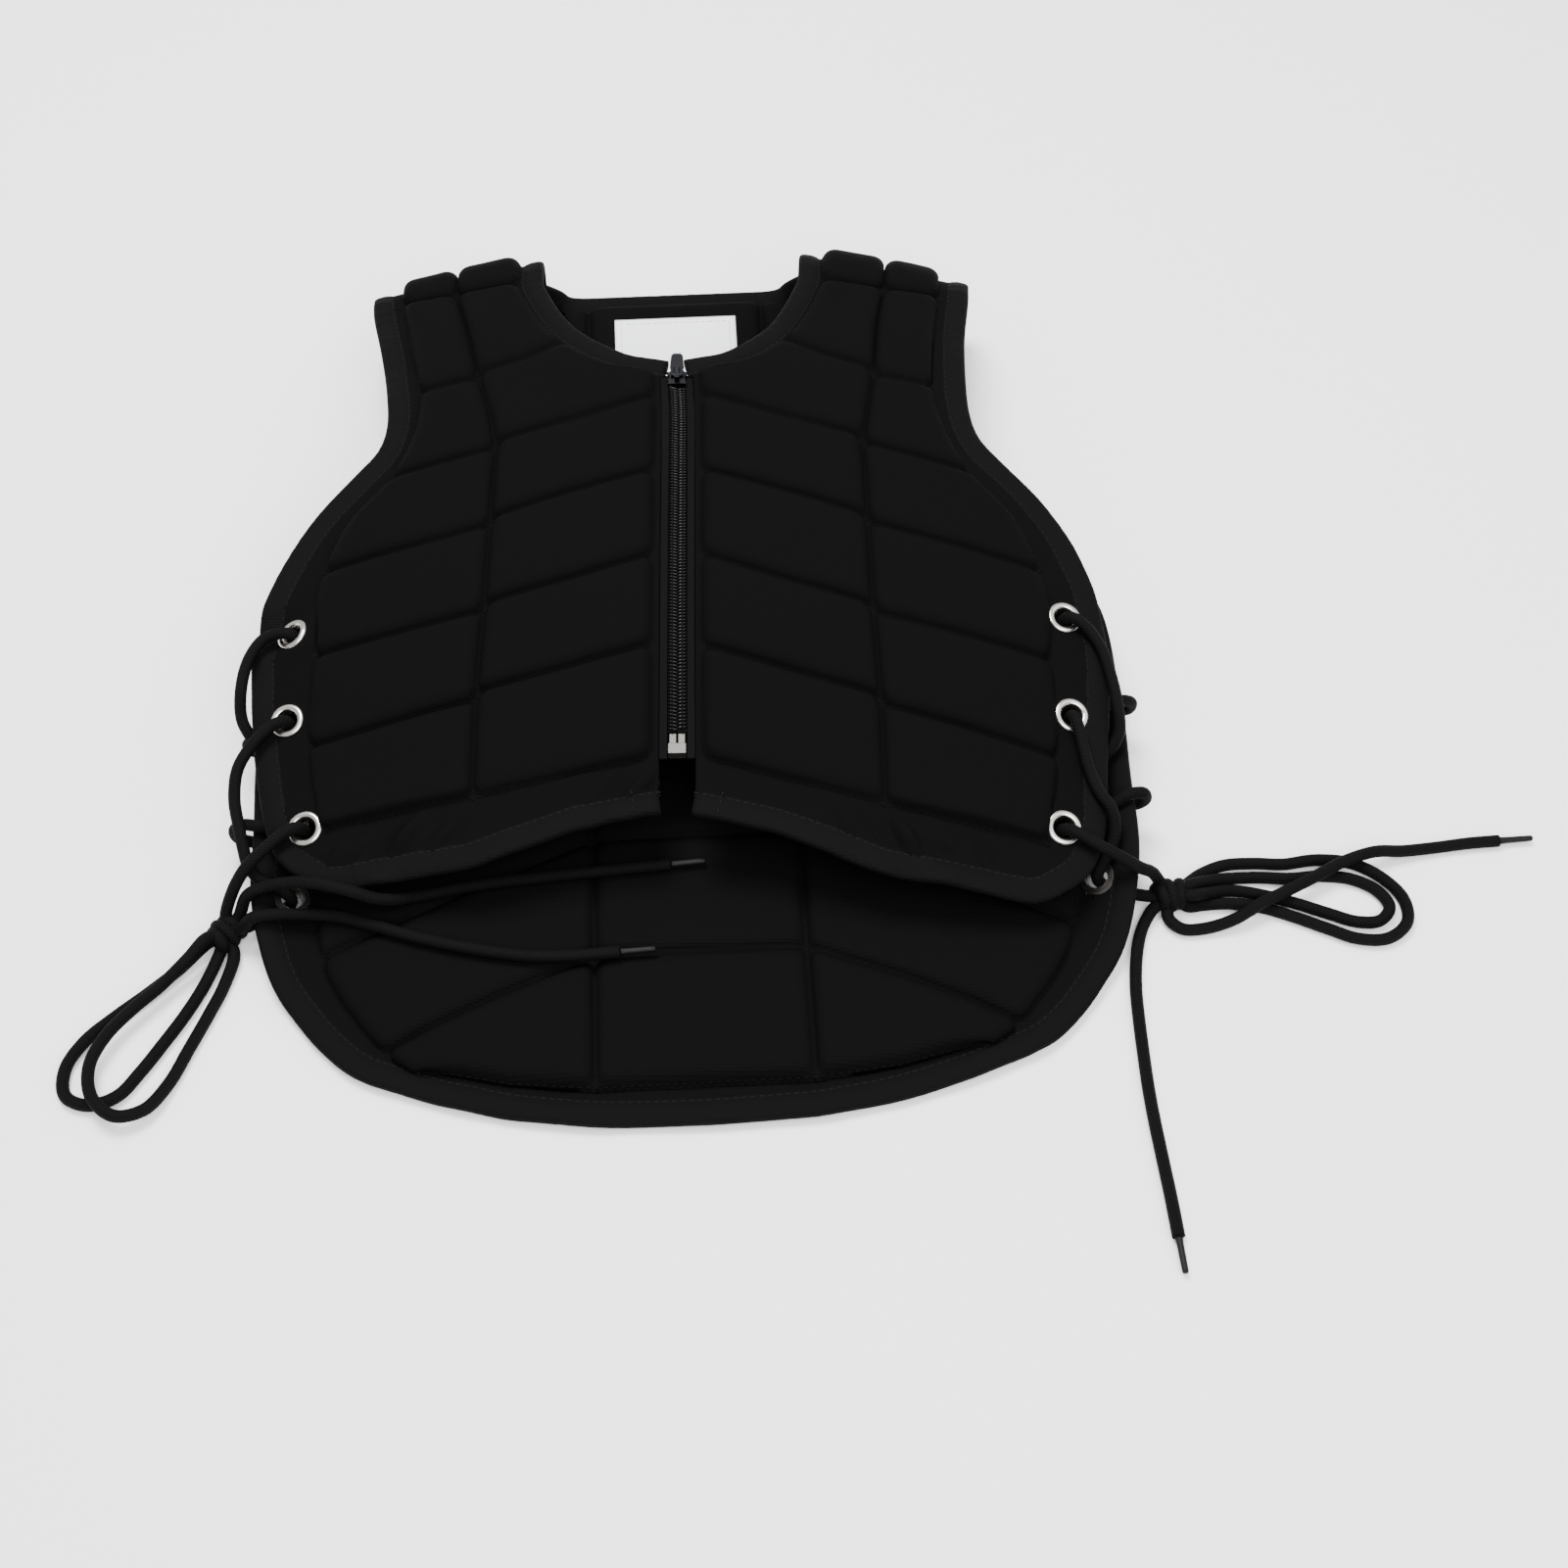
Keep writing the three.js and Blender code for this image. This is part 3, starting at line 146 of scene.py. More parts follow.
TAG_DIAMETER = 3.4
TAG_LENGTH = 15.0
KNOT_CENTRES = {"knot_right": (213, -138, 7.4), "knot_left": (-195.5, -149, 7.4)}
KNOT_HALF_WIDTH = 8.5
KNOT_REACH = 16.0
KNOT_HEADINGS = {"knot_right": 8, "knot_left": 231}

OFFSET = np.mean(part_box("knot_right"), axis=0) / MM - KNOT_CENTRES["knot_right"]

# The camera, in the drawing's axes

CAMERA_PLACE = (34.3, -652.2, 816.7)
CAMERA_DOWN = 54.5
CAMERA_TURN = 1.2
LENS = 50.6
SENSOR = 36.0

# Front rows, counted from the hem. Row 1 is the lower edge of the padding, rows 2 to 6 are the
# seams between blocks and row 7 is the shoulder crease. Each line has its row and then, as
# across and along percentages, its inner edge, middle, seam, side and cloth edge.

FRONT_ROWS = (
    (0, (0, -32.1), (19.7, -34), (45, -38.8), (80, -41), (89.3, -37.6)),
    (1, (0, -26.5), (22.5, -29.4), (45, -32.1), (83, -35.3), (94, -31.2)),
    (2, (0, -10.7), (22.5, -14.1), (45, -17.9), (87.6, -22.9), (98.6, -18.2)),
    (3, (0, 3.5), (22.5, -0.6), (44.1, -4.7), (87.9, -9.4), (100, -5.9)),
    (4, (0, 17.8), (22.5, 14), (43.8, 9.5), (87.1, 4), (95, 4.8)),
    (4.5, (0, 24.9), (22.5, 20.6), (43.8, 16.3), (81.5, 12.1), (88.2, 12.4)),
    (5, (0, 31.9), (22.5, 27.5), (43.8, 23.4), (71.3, 19.4), (77, 20)),
    (5.25, (0, 36.8), (22.5, 32.6), (45, 26.8), (67.9, 23.5), (71.8, 23.8)),
    (5.5, (9.6, 38.4), (25.8, 34.8), (46.1, 30.3), (65.8, 27.9), (69.4, 27.9)),
    (5.75, (17.1, 41), (30.3, 36.8), (47.5, 33.8), (64.9, 31.8), (68.8, 31.5)),
    (6, (23.6, 44.1), (36, 40.3), (48.9, 37.4), (64.9, 35.6), (69.1, 35.3)),
    (6.5, (30.9, 50.3), (41.6, 48.5), (51.7, 46.8), (67.6, 45.9), (71.3, 45.6)),
    (7, (36.5, 57.9), (46.1, 57.5), (55.6, 56.8), (71, 55.9), (74.7, 55.6)),
)
CREST = ((-44, 46), (-37, 51), (-27, 56), (-9, 67), (9, 73), (26, 75), (41, 73), (61, 67))

# Back rows, counted from the tail. Each line has its row, the centre and the column seam as
# percentages along, then the middle, side and cloth edge as across and along percentages.

BACK_ROWS = (
    (0, -50.3, -50, (42, -48.9), (57, -47.2), (74, -44.6)),
    (1, -48.3, -48.3, (43, -47.4), (63, -45.4), (79, -43)),
    (2, -35.3, -35.4, (46, -39), (71, -43.9), (86.5, -39.5)),
    (3, -22.6, -22.6, (55, -28), (86.5, -34.2), (95, -33.5)),
    (3.5, -16.2, -16.2, (56, -22), (88.8, -27.9), (98.3, -27.7)),
    (4, -9.9, -9.9, (57, -15.5), (89.5, -21.5), (99, -20.9)),
    (5, 2.8, 2.8, (57, -3), (89.5, -9), (100, -8.6)),
    (6, 15.5, 15.5, (55, 9.7), (85, 3.9), (96.8, 4.3)),
    (6.5, 21.8, 21.8, (52, 16.5), (78.5, 12), (87.5, 13)),
    (7, 28.2, 27.6, (49, 24.6), (69.5, 21.5), (75, 22.2)),
    (8, 39.8, 38.4, (46, 36.8), (69, 34.6), (72.6, 34.6)),
    (9, 49.7, 49.7, (41.7, 48.8), (73.2, 46.4), (76.4, 46.1)),
)

# Steps of the dense grids along the garment, for each row of its table

FRONT_STEPS = 22
BACK_STEPS = 20

# The laces' routes, the same points as in the part. A point without a height lies on the floor.

ROUTES = {
    "lace_right_run": [
        (207.7, -133.2, 13), (204, -134, 20), (198, -135.5, 26), (190.5, -133.5, 30.5),
        (182, -129.5, 33), (171.9, -123, 34.5), (168.5, -120.8, 34.1), (166.5, -119.2, 32.2),
        (165.1, -117.4, 27.4), (167, -115.2, 24.2), (177, -108.5, 21.5), (189, -102, 24.6),
        (197, -99, 28.7), (203.2, -98, 28.4), (205.2, -97, 22), (200.5, -94.5, 14.6),
        (191.5, -86, 11.5), (187.8, -83.4, 11.6), (185.3, -82.3, 13.5), (183, -82.2, 17.6),
        (183.2, -80.9, 21), (186, -78.2, 24.8), (191.5, -74.5, 29), (195.2, -69, 34.5),
        (194.8, -60.5, 40.6), (193, -47, 44.6), (189.3, -30, 46.8), (182.5, -18.8, 49),
        (178, -15.2, 49.2), (175.4, -13.7, 47), (173.8, -13, 42), (174, -17, 36.5),
        (176.5, -27, 26), (179.6, -34.6, 20.2), (181.4, -36.8, 17.2), (183.4, -36.9, 13.4),
        (186.4, -37.6, 11.6), (195.5, -41, 13.2), (203.6, -45, 19.5), (203.8, -47, 27),
        (198.5, -48.8, 30.7), (187, -53.5, 29.8), (177, -59, 31.6), (174.3, -61.3, 33.2),
        (173.2, -62.8, 35.9), (174, -63.9, 40.2), (175, -67.2, 42.5), (176.5, -75, 41.2),
        (179, -91, 38), (182.8, -103, 36.2), (187.4, -110.5, 34.3), (188.9, -117.2, 28.5),
        (187, -123.5, 22.8), (183.6, -128.8, 21.2), (180.9, -132.8, 15.9), (183.2, -132.9, 10.3),
        (186, -133.8, 8.4), (195, -136.5, 7.6), (204.3, -138.2, 7.2),
    ],
    "lace_left_run": [
        (-195, -142.2, 12.9), (-192.5, -138.5, 19), (-189, -134.5, 25), (-184.5, -130, 30),
        (-179, -124.5, 32.3), (-168.4, -115.3, 34.6), (-164.9, -113, 34.2), (-163, -111.4, 31.3),
        (-161.5, -109.8, 26.8), (-163.5, -107.5, 23.6), (-173, -104.5, 21.8), (-184, -104, 23),
        (-190, -103.8, 24), (-194.8, -103.6, 19.5), (-194, -103.3, 12.5), (-185.5, -102.5, 7.9),
        (-176.5, -101, 7), (-173.2, -99.4, 7.4), (-171.1, -98.6, 9.3), (-169.4, -98.5, 13.9),
        (-169.5, -96.6, 16.6), (-172, -90, 19.5), (-180, -74, 24.5), (-190, -61, 27.6),
        (-195, -53, 33), (-195, -42, 41.5), (-192.5, -28, 44.8), (-187, -17.5, 45.8),
        (-181.5, -14.6, 46), (-178, -14.4, 46.2), (-174.9, -14.4, 45), (-172.2, -14.6, 40.2),
        (-171, -19, 34), (-170.4, -32, 23.5), (-170.8, -43.3, 18.3), (-171.5, -48, 15.6),
        (-173.5, -49.7, 9.6), (-176.4, -50.4, 7.4), (-185, -52.5, 8), (-193.6, -55.5, 12.5),
        (-194.4, -57, 20), (-188, -58, 24.4), (-177.7, -56.4, 28.8), (-174.4, -56.7, 30.6),
        (-172.7, -57.4, 33.4), (-173.9, -58.5, 38.4), (-175.9, -60, 40), (-179.5, -62.6, 40.3),
        (-186, -70, 39.2), (-192.6, -82, 36), (-193.4, -95, 32), (-190.5, -108, 29.8),
        (-187.8, -118, 27), (-185, -126, 25), (-180, -131.6, 22.6), (-173.5, -133.8, 19.6),
        (-169.3, -135.4, 17.4), (-167.5, -135.9, 13.8), (-168.9, -136, 8.8), (-171.6, -137, 7),
        (-179, -141, 6.6), (-187, -145.8, 6.9),
    ],
    "lace_right_loop_upper": [
        (220.3, -131.6, 4), (229, -124.5), (240, -120), (253, -119.3), (266, -120), (281, -118),
        (296, -120), (308, -127.5), (316, -139), (315.5, -151), (306, -159), (293, -159),
        (280, -153.5), (267, -147.5), (254, -142.5), (240, -140), (228, -140.5),
        (221.3, -141.5, 3.4),
    ],
    "lace_right_loop_lower": [
        (222, -134.4, 9.8), (230, -130.5, 6.5), (241, -127.3, 3.2), (254, -126.8), (268, -127.6),
        (282, -126.6), (295, -128.5), (305, -134.5), (309.3, -143), (304, -150), (294, -150.5),
        (282, -146), (268, -140.3), (254, -135.8), (241, -133.6, 3.2), (230.5, -136.6, 6.5),
        (223, -139.7, 9.9),
    ],
    "lace_right_tail_long": [
        (211.5, -147.4, 4.4), (217, -152.5, 3), (227, -152.5), (240, -149.5, 5), (253, -143, 8.2),
        (266, -136.5, 8.3), (279, -129.5, 8.3), (292, -122.5, 8.4), (306, -117.5, 7.8),
        (320, -115, 4.2), (335, -112.6), (350, -110.6), (364, -109.5),
    ],
    "lace_right_tail_short": [
        (205.8, -142.6, 4), (200, -152), (196, -166), (194, -181), (193.5, -197), (193.5, -213),
        (193.7, -229), (194.5, -245), (195.7, -261), (197, -278), (198, -295),
    ],
    "lace_left_loop_outer": [
        (-203.9, -152.5, 4.5), (-214, -163.5), (-226, -175.5), (-238, -186.5), (-249, -198),
        (-255, -211), (-253, -223.5), (-243, -228), (-231.5, -224), (-223.5, -213), (-216, -200),
        (-209, -187), (-202.5, -172), (-197.6, -157.8, 4.5),
    ],
    "lace_left_loop_inner": [
        (-202, -154.3, 12.4), (-209, -163, 10.5), (-219, -174.5, 8.3), (-229.5, -186, 8.3),
        (-239, -199, 8.3), (-243.5, -213, 8.3), (-240, -227.5, 8.3), (-230, -235.5, 7.5),
        (-219, -232, 5.5), (-211, -219, 3.2), (-205, -203), (-199, -187), (-194, -172),
        (-191.4, -157.3, 4),
    ],
    "lace_left_tail_upper": [
        (-189.4, -143.3, 12.2), (-184.6, -139, 21.6), (-176, -137, 25.4), (-165, -138, 29.6),
        (-153, -141, 33.6), (-140, -144.5, 33.2), (-126, -145, 26), (-112, -139, 18.6),
        (-96, -134.5, 17), (-78, -131.5, 17), (-60, -129.5, 17), (-42, -127.5, 17),
        (-22, -125.5, 17), (-4, -123.7, 17),
    ],
    "lace_left_tail_lower": [
        (-187.4, -149.3, 12.4), (-181.4, -149, 19.8), (-173, -148, 20.2), (-161, -146.5, 17.6),
        (-147, -147.5, 17), (-131, -152, 17), (-115, -157.5, 17), (-97, -162.5, 17),
        (-79, -166.5, 17), (-61, -169, 17), (-43, -169, 17), (-25, -167.6, 17),
    ],
}

# Numbers


def clamp01(t):
    return np.clip(t, 0.0, 1.0)


def smooth(t):
    c = clamp01(t)
    return c * c * (3 - 2 * c)


def mix(a, b, t):
    return a + (b - a) * t


def cubic(start, start_slope, end, end_slope, t):
    return (
        start * (2 * t**3 - 3 * t**2 + 1)
        + start_slope * (t**3 - 2 * t**2 + t)
        + end * (3 * t**2 - 2 * t**3)
        + end_slope * (t**3 - t**2)
    )


def hermite(rows, values, keys):
    """Values at the keys on a smooth line through a table's rows."""
    rows, values, keys = (np.asarray(x, float) for x in (rows, values, keys))
    steps = np.diff(rows)
    shape = (-1,) + (1,) * (values.ndim - 1)
    chords = np.diff(values, axis=0) / steps.reshape(shape)
    slopes = np.empty_like(values)
    slopes[0], slopes[-1] = chords[0], chords[-1]
    before, after = steps[:-1].reshape(shape), steps[1:].reshape(shape)
    slopes[1:-1] = (chords[:-1] * after + chords[1:] * before) / (before + after)
    k = np.clip(np.searchsorted(rows, keys, side="right") - 1, 0, len(rows) - 2)
    run = steps[k].reshape(shape)
    t = ((keys - rows[k]) / steps[k]).reshape(shape)
    return cubic(values[k], run * slopes[k], values[k + 1], run * slopes[k + 1], t)


def waves(x, y, seed, scale):
    """Smooth noise from a few crossing sine waves, about -1 to 1."""
    rng = np.random.default_rng(seed)
    total = np.zeros_like(x)
    for _ in range(7):
        turn, phase = rng.uniform(0, 2 * math.pi, 2)
        size = scale * rng.uniform(0.6, 1.7)
        total += np.sin((x * math.cos(turn) + y * math.sin(turn)) * 2 * math.pi / size + phase)
    return total / 3.2


# The surfaces halfway through the front and the back


def front_middle(x, y):
    rows, heights = zip(*CREST)
    along = np.clip(y / FRONT_LENGTH * 100, rows[0], rows[-1])
    crest = hermite(rows, heights, along.ravel()).reshape(np.shape(y))
    return crest - FOAM_HALF - SIDE_FALL * (np.abs(x) / FRONT_HALF) ** SIDE_CURVE


def fold_start(x):
    return FOLD_CENTRE - FOLD_SLANT * (np.abs(x) - SHOULDER_MIDDLE)


def fold_height(x):
    return (front_middle(x, fold_start(x)) - FOAM_HALF) / 2


def back_middle(x, y):
    share = y / BACK_LENGTH
    lift = np.where(x > 0, EDGE_LIFT_RIGHT, EDGE_LIFT_LEFT)
    out = smooth((np.abs(x) - 0.83 * BACK_HALF) / (0.22 * BACK_HALF))
    side = lift * out * smooth((share + 0.42) / 0.16) * smooth((0.3 - share) / 0.12)
    neck = NECK_LIFT * smooth((share - 0.39) / 0.11)
    run = clamp01((y - fold_start(x)) / FOLD_DEPTH)
    fold = fold_height(x) * (1 - np.sqrt(1 - np.minimum(run, 0.98) ** 2))
    shoulder = smooth((np.abs(x) / BACK_HALF - 0.25) / 0.17)
    return FOAM_HALF + side + mix(neck, fold, shoulder)


def lay_front(x, y):
    shift = SHOULDER_SHIFT * smooth((y - 0.26 * FRONT_LENGTH) / (0.32 * FRONT_LENGTH))
    tilt = HEM_TILT * clamp01((0.24 * FRONT_LENGTH - y) / (0.5 * FRONT_LENGTH))
    flap = FLAP_SHIFT * (x / FRONT_HALF) ** 2 * clamp01(2 - y / 60)
    return x + shift + flap, y - tilt * x


def lay_back(x, y):
    c, s = math.cos(BACK_TURN), math.sin(BACK_TURN)
    return BACK_SHIFT + x * c - y * s, x * s + y * c


# Dense panels. A grid's columns follow its stations and its rows the table's rows.


def clustered(count):
    """Steps from 0 to 1 that are closer together near both ends."""
    t = np.linspace(0, 1, count + 1)
    return 0.45 * t + 0.55 * (0.5 - 0.5 * np.cos(math.pi * t))


def row_keys(first, last, count):
    keys = [first + k + clustered(count)[:-1] for k in range(int(last - first))]
    return np.concatenate(keys + [[last]])


def column_of(table, k, keys, size):
    """A column of a table at the keys, from percentages of a size to millimetres."""
    rows = [line[0] for line in table]
    return hermite(rows, [line[k] for line in table], keys) * np.array(size) / 100


def front_columns(keys):
    size = (FRONT_HALF - ZIP_EDGE, FRONT_LENGTH)
    columns = [column_of(FRONT_ROWS, k, keys, size) + (ZIP_EDGE, 0) for k in range(1, 6)]
    columns[0][:, 0] = np.maximum(columns[0][:, 0], ZIP_EDGE)
    return columns


def back_columns(keys):
    columns = []
    for k, x in ((1, 0), (2, CENTRE_BLOCK)):
        along = column_of(BACK_ROWS, k, keys, BACK_LENGTH)
        columns.append(np.stack([np.full_like(along, x), along], -1))
    size = (BACK_HALF, BACK_LENGTH)
    return columns + [column_of(BACK_ROWS, k, keys, size) for k in range(3, 6)]


def strip(columns, counts):
    """Places across a panel through its columns, with each place's column number."""
    places, numbers = [], []
    for k, count in enumerate(counts):
        t = clustered(count)[: None if k + 1 == len(counts) else -1]
        places.append(mix(columns[k][:, None], columns[k + 1][:, None], t[None, :, None]))
        numbers.append(k + t)
    return np.concatenate(places, 1), np.concatenate(numbers)


def nearest(values, count):
    """The grid numbers of the values nearest to 0, 1, 2 and so on."""
    return [int(np.argmin(np.abs(values - k))) for k in range(count)]


def run_along(places, axis):
    steps = np.linalg.norm(np.diff(places, axis=axis), axis=-1)
    pad = [(0, 0), (0, 0)]
    pad[axis] = (1, 0)
    return np.cumsum(np.pad(steps, pad), axis=axis)


def to_nearest(run, axis, stops):
    """Distance along an axis of the grid from the nearest stop, given as grid numbers."""
    taken = np.take(run, stops, axis=axis)
    gaps = np.abs(np.expand_dims(run, axis) - np.expand_dims(taken, axis + 1))
    return gaps.min(axis=axis)


def round_block(across, along):
    """0 at a seam to 1 on top of a block, with rounded shoulders and corners."""
    a = 1 - clamp01(across / BLOCK_ROUND)
    b = 1 - clamp01(along / BLOCK_ROUND)
    reach = clamp01((a**BLOCK_CORNER + b**BLOCK_CORNER) ** (1 / BLOCK_CORNER))
    return (1 - reach**2.3) ** (1 / 2.1)


def puckers(place_along, distance, seed, size):
    """Small pleats that stand square to a seam and fade away from it."""
    rng = np.random.default_rng(seed)
    phase = rng.uniform(0, 2 * math.pi, 3)
    wave = (
        np.sin(place_along * 2 * math.pi / size + phase[0])
        + 0.7 * np.sin(place_along * 2 * math.pi / (size * 1.73) + phase[1])
        + 0.5 * np.sin(place_along * 2 * math.pi / (size * 0.61) + phase[2])
    )
    return wave * np.exp(-((distance - 3.5) / 4.0) ** 2)


def upward(vectors):
    """Directions turned over if they face down on the whole."""
    return -vectors if vectors[..., 2].mean() < 0 else vectors


def unit(vectors):
    return vectors / np.maximum(np.linalg.norm(vectors, axis=-1, keepdims=True), 1e-9)


def grid_normals(places):
    return upward(unit(np.cross(np.gradient(places, axis=1), np.gradient(places, axis=0))))


def pulled(places, seats, share):
    """The flap drawn flat round each eyelet's seat."""
    out = places.copy()
    for centre, normal in seats:
        dx, dy = out[..., 0] - centre[0], out[..., 1] - centre[1]
        flat = centre[2] - (normal[0] * dx + normal[1] * dy) / normal[2]
        near = (1 - smooth((np.hypot(dx, dy) - SEAT_FLAT) / SEAT_BLEND)) * share
        out[..., 2] = mix(out[..., 2], flat, near)
    return out


def edge_round(grid):
    """The outermost entries of a grid, one after another."""
    return np.concatenate([grid[0], grid[1:, -1], grid[-1, -2::-1], grid[-2:0:-1, 0]])


def panel_mesh(middle, half, holes=()):
    """A closed mesh from a middle surface and its half thickness, with round holes cut away."""
    swell = grid_normals(middle) * half[..., None]
    rows, columns = middle.shape[:2]
    kept = np.ones((rows, columns), bool)
    for centre, _ in holes:
        distance = np.hypot(middle[..., 0] - centre[0], middle[..., 1] - centre[1])
        kept &= distance > EYELET_BORE + HOLE_GAP
    count = rows * columns
    index = np.arange(count).reshape(rows, columns)
    cells = kept[:-1, :-1] & kept[1:, :-1] & kept[:-1, 1:] & kept[1:, 1:]
    a, b = index[:-1, :-1][cells], index[:-1, 1:][cells]
    c, d = index[1:, 1:][cells], index[1:, :-1][cells]
    rim = edge_round(index)
    after = np.roll(rim, -1)
    sides = ((a, b, c, d), (d + count, c + count, b + count, a + count))
    faces = [np.stack(side, -1) for side in (*sides, (rim, rim + count, after + count, after))]
    points = [(middle + swell).reshape(-1, 3), (middle - swell).reshape(-1, 3)]
    return np.concatenate(points), np.concatenate(faces)


def new_object(name, points, faces, body="vest", shaded=True):
    """A Blender object from drawing places in millimetres, riding on a body of the frame."""
    mesh = bpy.data.meshes.new(name)
    places = (np.asarray(points, float) + OFFSET) * MM
    places[:, 2] = np.maximum(places[:, 2], FLOOR_GAP * MM)
    mesh.from_pydata(places.tolist(), [], faces if isinstance(faces, list) else faces.tolist())
    mesh.validate()
    mesh.update()
    if shaded:
        mesh.polygons.foreach_set("use_smooth", np.ones(len(mesh.polygons), bool))
    piece = bpy.data.objects.new(name, mesh)
    bpy.context.scene.collection.objects.link(piece)
    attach(piece, body)
    return piece


def dress(piece, look, slot, *nodes):
    piece.data.materials.append(material(look))
    if nodes:
        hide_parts(*nodes)
    return piece


def seat_of(node):
    """An eyelet's centre and the way that it faces, in drawing millimetres."""
    places = np.array([vertex.co for vertex in NODES[node].data.vertices]) / MM - OFFSET
    centre = places.mean(0)
    normal = np.linalg.svd(places - centre)[2][2]
    return centre, normal if normal[2] > 0 else -normal


def seats_on(side, hands):
    places = ("upper", "middle", "lower")
    return [seat_of(f"eyelet_{side}_{hand}_{place}") for hand in hands for place in places]


def padding_of(block, foam):
    return SEAM_HALF + (foam - SEAM_HALF) * block


def front_sheet(hand, foam):
    """The middle surface of a front half, its half thickness, its eyelets and its seams."""
    sign = HANDS[hand]
    keys = row_keys(0, 7, FRONT_STEPS)
    flat, numbers = strip(front_columns(keys), (22, 20, 40, 16))
    trimmed_rows = smooth((keys - 0.7) / 1.2) * (1 - smooth((keys - 3) / 1.5))
    trim = RIGHT_FLAP_TRIM * trimmed_rows * (sign > 0)
    flat[..., 0] -= trim[:, None] * clamp01(numbers - 3)
    across, along = run_along(flat, 1), run_along(flat, 0)
    columns, lines = nearest(numbers, 5), nearest(keys, 8)
    from_seam = np.abs(across - across[:, columns[2], None])
    from_margin = across - ZIP_MARGIN
    from_side = across[:, columns[3], None] - across
    sideways = np.minimum(np.minimum(from_seam, from_margin), from_side)
    lengthways = np.where(keys[:, None] >= 1, to_nearest(along, 0, lines[1:]), 0)
    jog_on = smooth((keys - 1) / 0.15) * smooth((6.6 - keys) / 0.15)
    rise = clamp01(numbers - 1) * (numbers < 2) - clamp01(from_side / 4) * (numbers >= 2)
    flat[..., 1] += SEAM_JOG / 2 * jog_on[:, None] * rise * clamp01(from_seam / 3.5)
    x, y = lay_front(sign * flat[..., 0], flat[..., 1])
    z = front_middle(sign * flat[..., 0], flat[..., 1])
    loose = np.maximum(smooth((numbers - 2.97) / 0.1)[None, :], (keys[:, None] < 1) * 1.0)
    seed = 3 if sign > 0 else 8
    z = z + loose * 0.5 * waves(x, y, seed, 34) + (1 - loose) * 0.5 * waves(x, y, seed + 1, 120)
    below = clamp01((1 - keys) * 2.2) * clamp01(keys * 3)
    below = below[:, None] * (numbers < 3.4)
    folds = waves(across + 0.7 * along, 0.35 * along, seed + 6, 13)
    z = z + below * STRIP_FOLDS * folds * (0.55 + 0.45 * np.sin(across / 19 + seed))
    seats = seats_on("front", [hand])
    middle = pulled(np.stack([x, y, z], -1), seats, loose)
    block = round_block(np.maximum(sideways, 0), lengthways)
    padding = padding_of(block, foam) + 0.35 * block * waves(x, y, seed + 2, 55)
    pleats = puckers(across, lengthways, seed, 14) + puckers(along, from_seam, seed + 4, 15)
    half = np.where(sideways > 0, padding + PLEAT_DEPTH * pleats * (lengthways > 0), CLOTH_HALF)
    seams = [("row", line, columns[0] + 3, columns[3]) for line in lines[1:7]]
    seams += [("column", columns[k], lines[1], lines[7]) for k in (2, 3)]
    return middle, half, seats, seams


def mirrored(grid):
    return np.concatenate([grid[:, :0:-1], grid], 1)


def back_sheet(foam):
    """The middle surface of the back, its half thickness, its eyelets and its seams."""
    keys = row_keys(0, 9, BACK_STEPS)
    flat, numbers = strip(back_columns(keys), (16, 20, 34, 16))
    across, along = run_along(flat, 1), run_along(flat, 0)
    columns, lines = nearest(numbers, 5), nearest(keys, 10)
    from_seam = np.abs(across - across[:, columns[1], None])
    from_side = across[:, columns[3], None] - across
    sideways = np.minimum(from_seam, from_side)
    lengthways = np.where(keys[:, None] >= 1, to_nearest(along, 0, lines[1:]), 0)
    loose = np.maximum(clamp01((numbers - 2.6) / 0.4)[None, :], (keys[:, None] < 1) * 1.0)
    halves = []
    for sign in (-1, 1):
        x, y = flat[..., 0], flat[..., 1]
        ends = smooth((keys[:, None] - 8) / 1.0)
        y = mix(y, np.where(x > 60, fold_start(x) + FOLD_DEPTH * math.sin(FOLD_TURN), y), ends)
        droop = TAIL_DROOP * loose * smooth((-0.3 - y / BACK_LENGTH) / 0.12)
        z = back_middle(sign * x, y) - droop
        x, y = lay_back(sign * x, y)
        z = z + loose * 0.35 * waves(x, y, 21 + sign, 36)
        halves.append(np.stack([x, y, z], -1))
    middle = np.concatenate([halves[0][:, :0:-1], halves[1]], 1)
    seats = seats_on("back", HANDS)
    share = smooth((numbers - 2.97) / 0.1) * np.ones_like(across)
    middle = pulled(middle, seats, mirrored(share))
    middle[..., 2] = np.maximum(middle[..., 2], CLOTH_HALF + 0.3)
    block = round_block(np.maximum(sideways, 0), lengthways)
    pleats = puckers(across, lengthways, 31, 14) + puckers(along, from_seam, 33, 15)
    padding = padding_of(block, foam) + PLEAT_DEPTH * pleats * (lengthways > 0)
    half = mirrored(np.where(sideways > 0, padding, CLOTH_HALF))
    centre = len(numbers) - 1
    seams = [("row", line, centre - columns[3], centre + columns[3]) for line in lines[1:9]]
    for k in (1, 3):
        seams += [("column", centre + sign * columns[k], lines[1], lines[9]) for sign in (-1, 1)]
    return middle, half, seats, seams


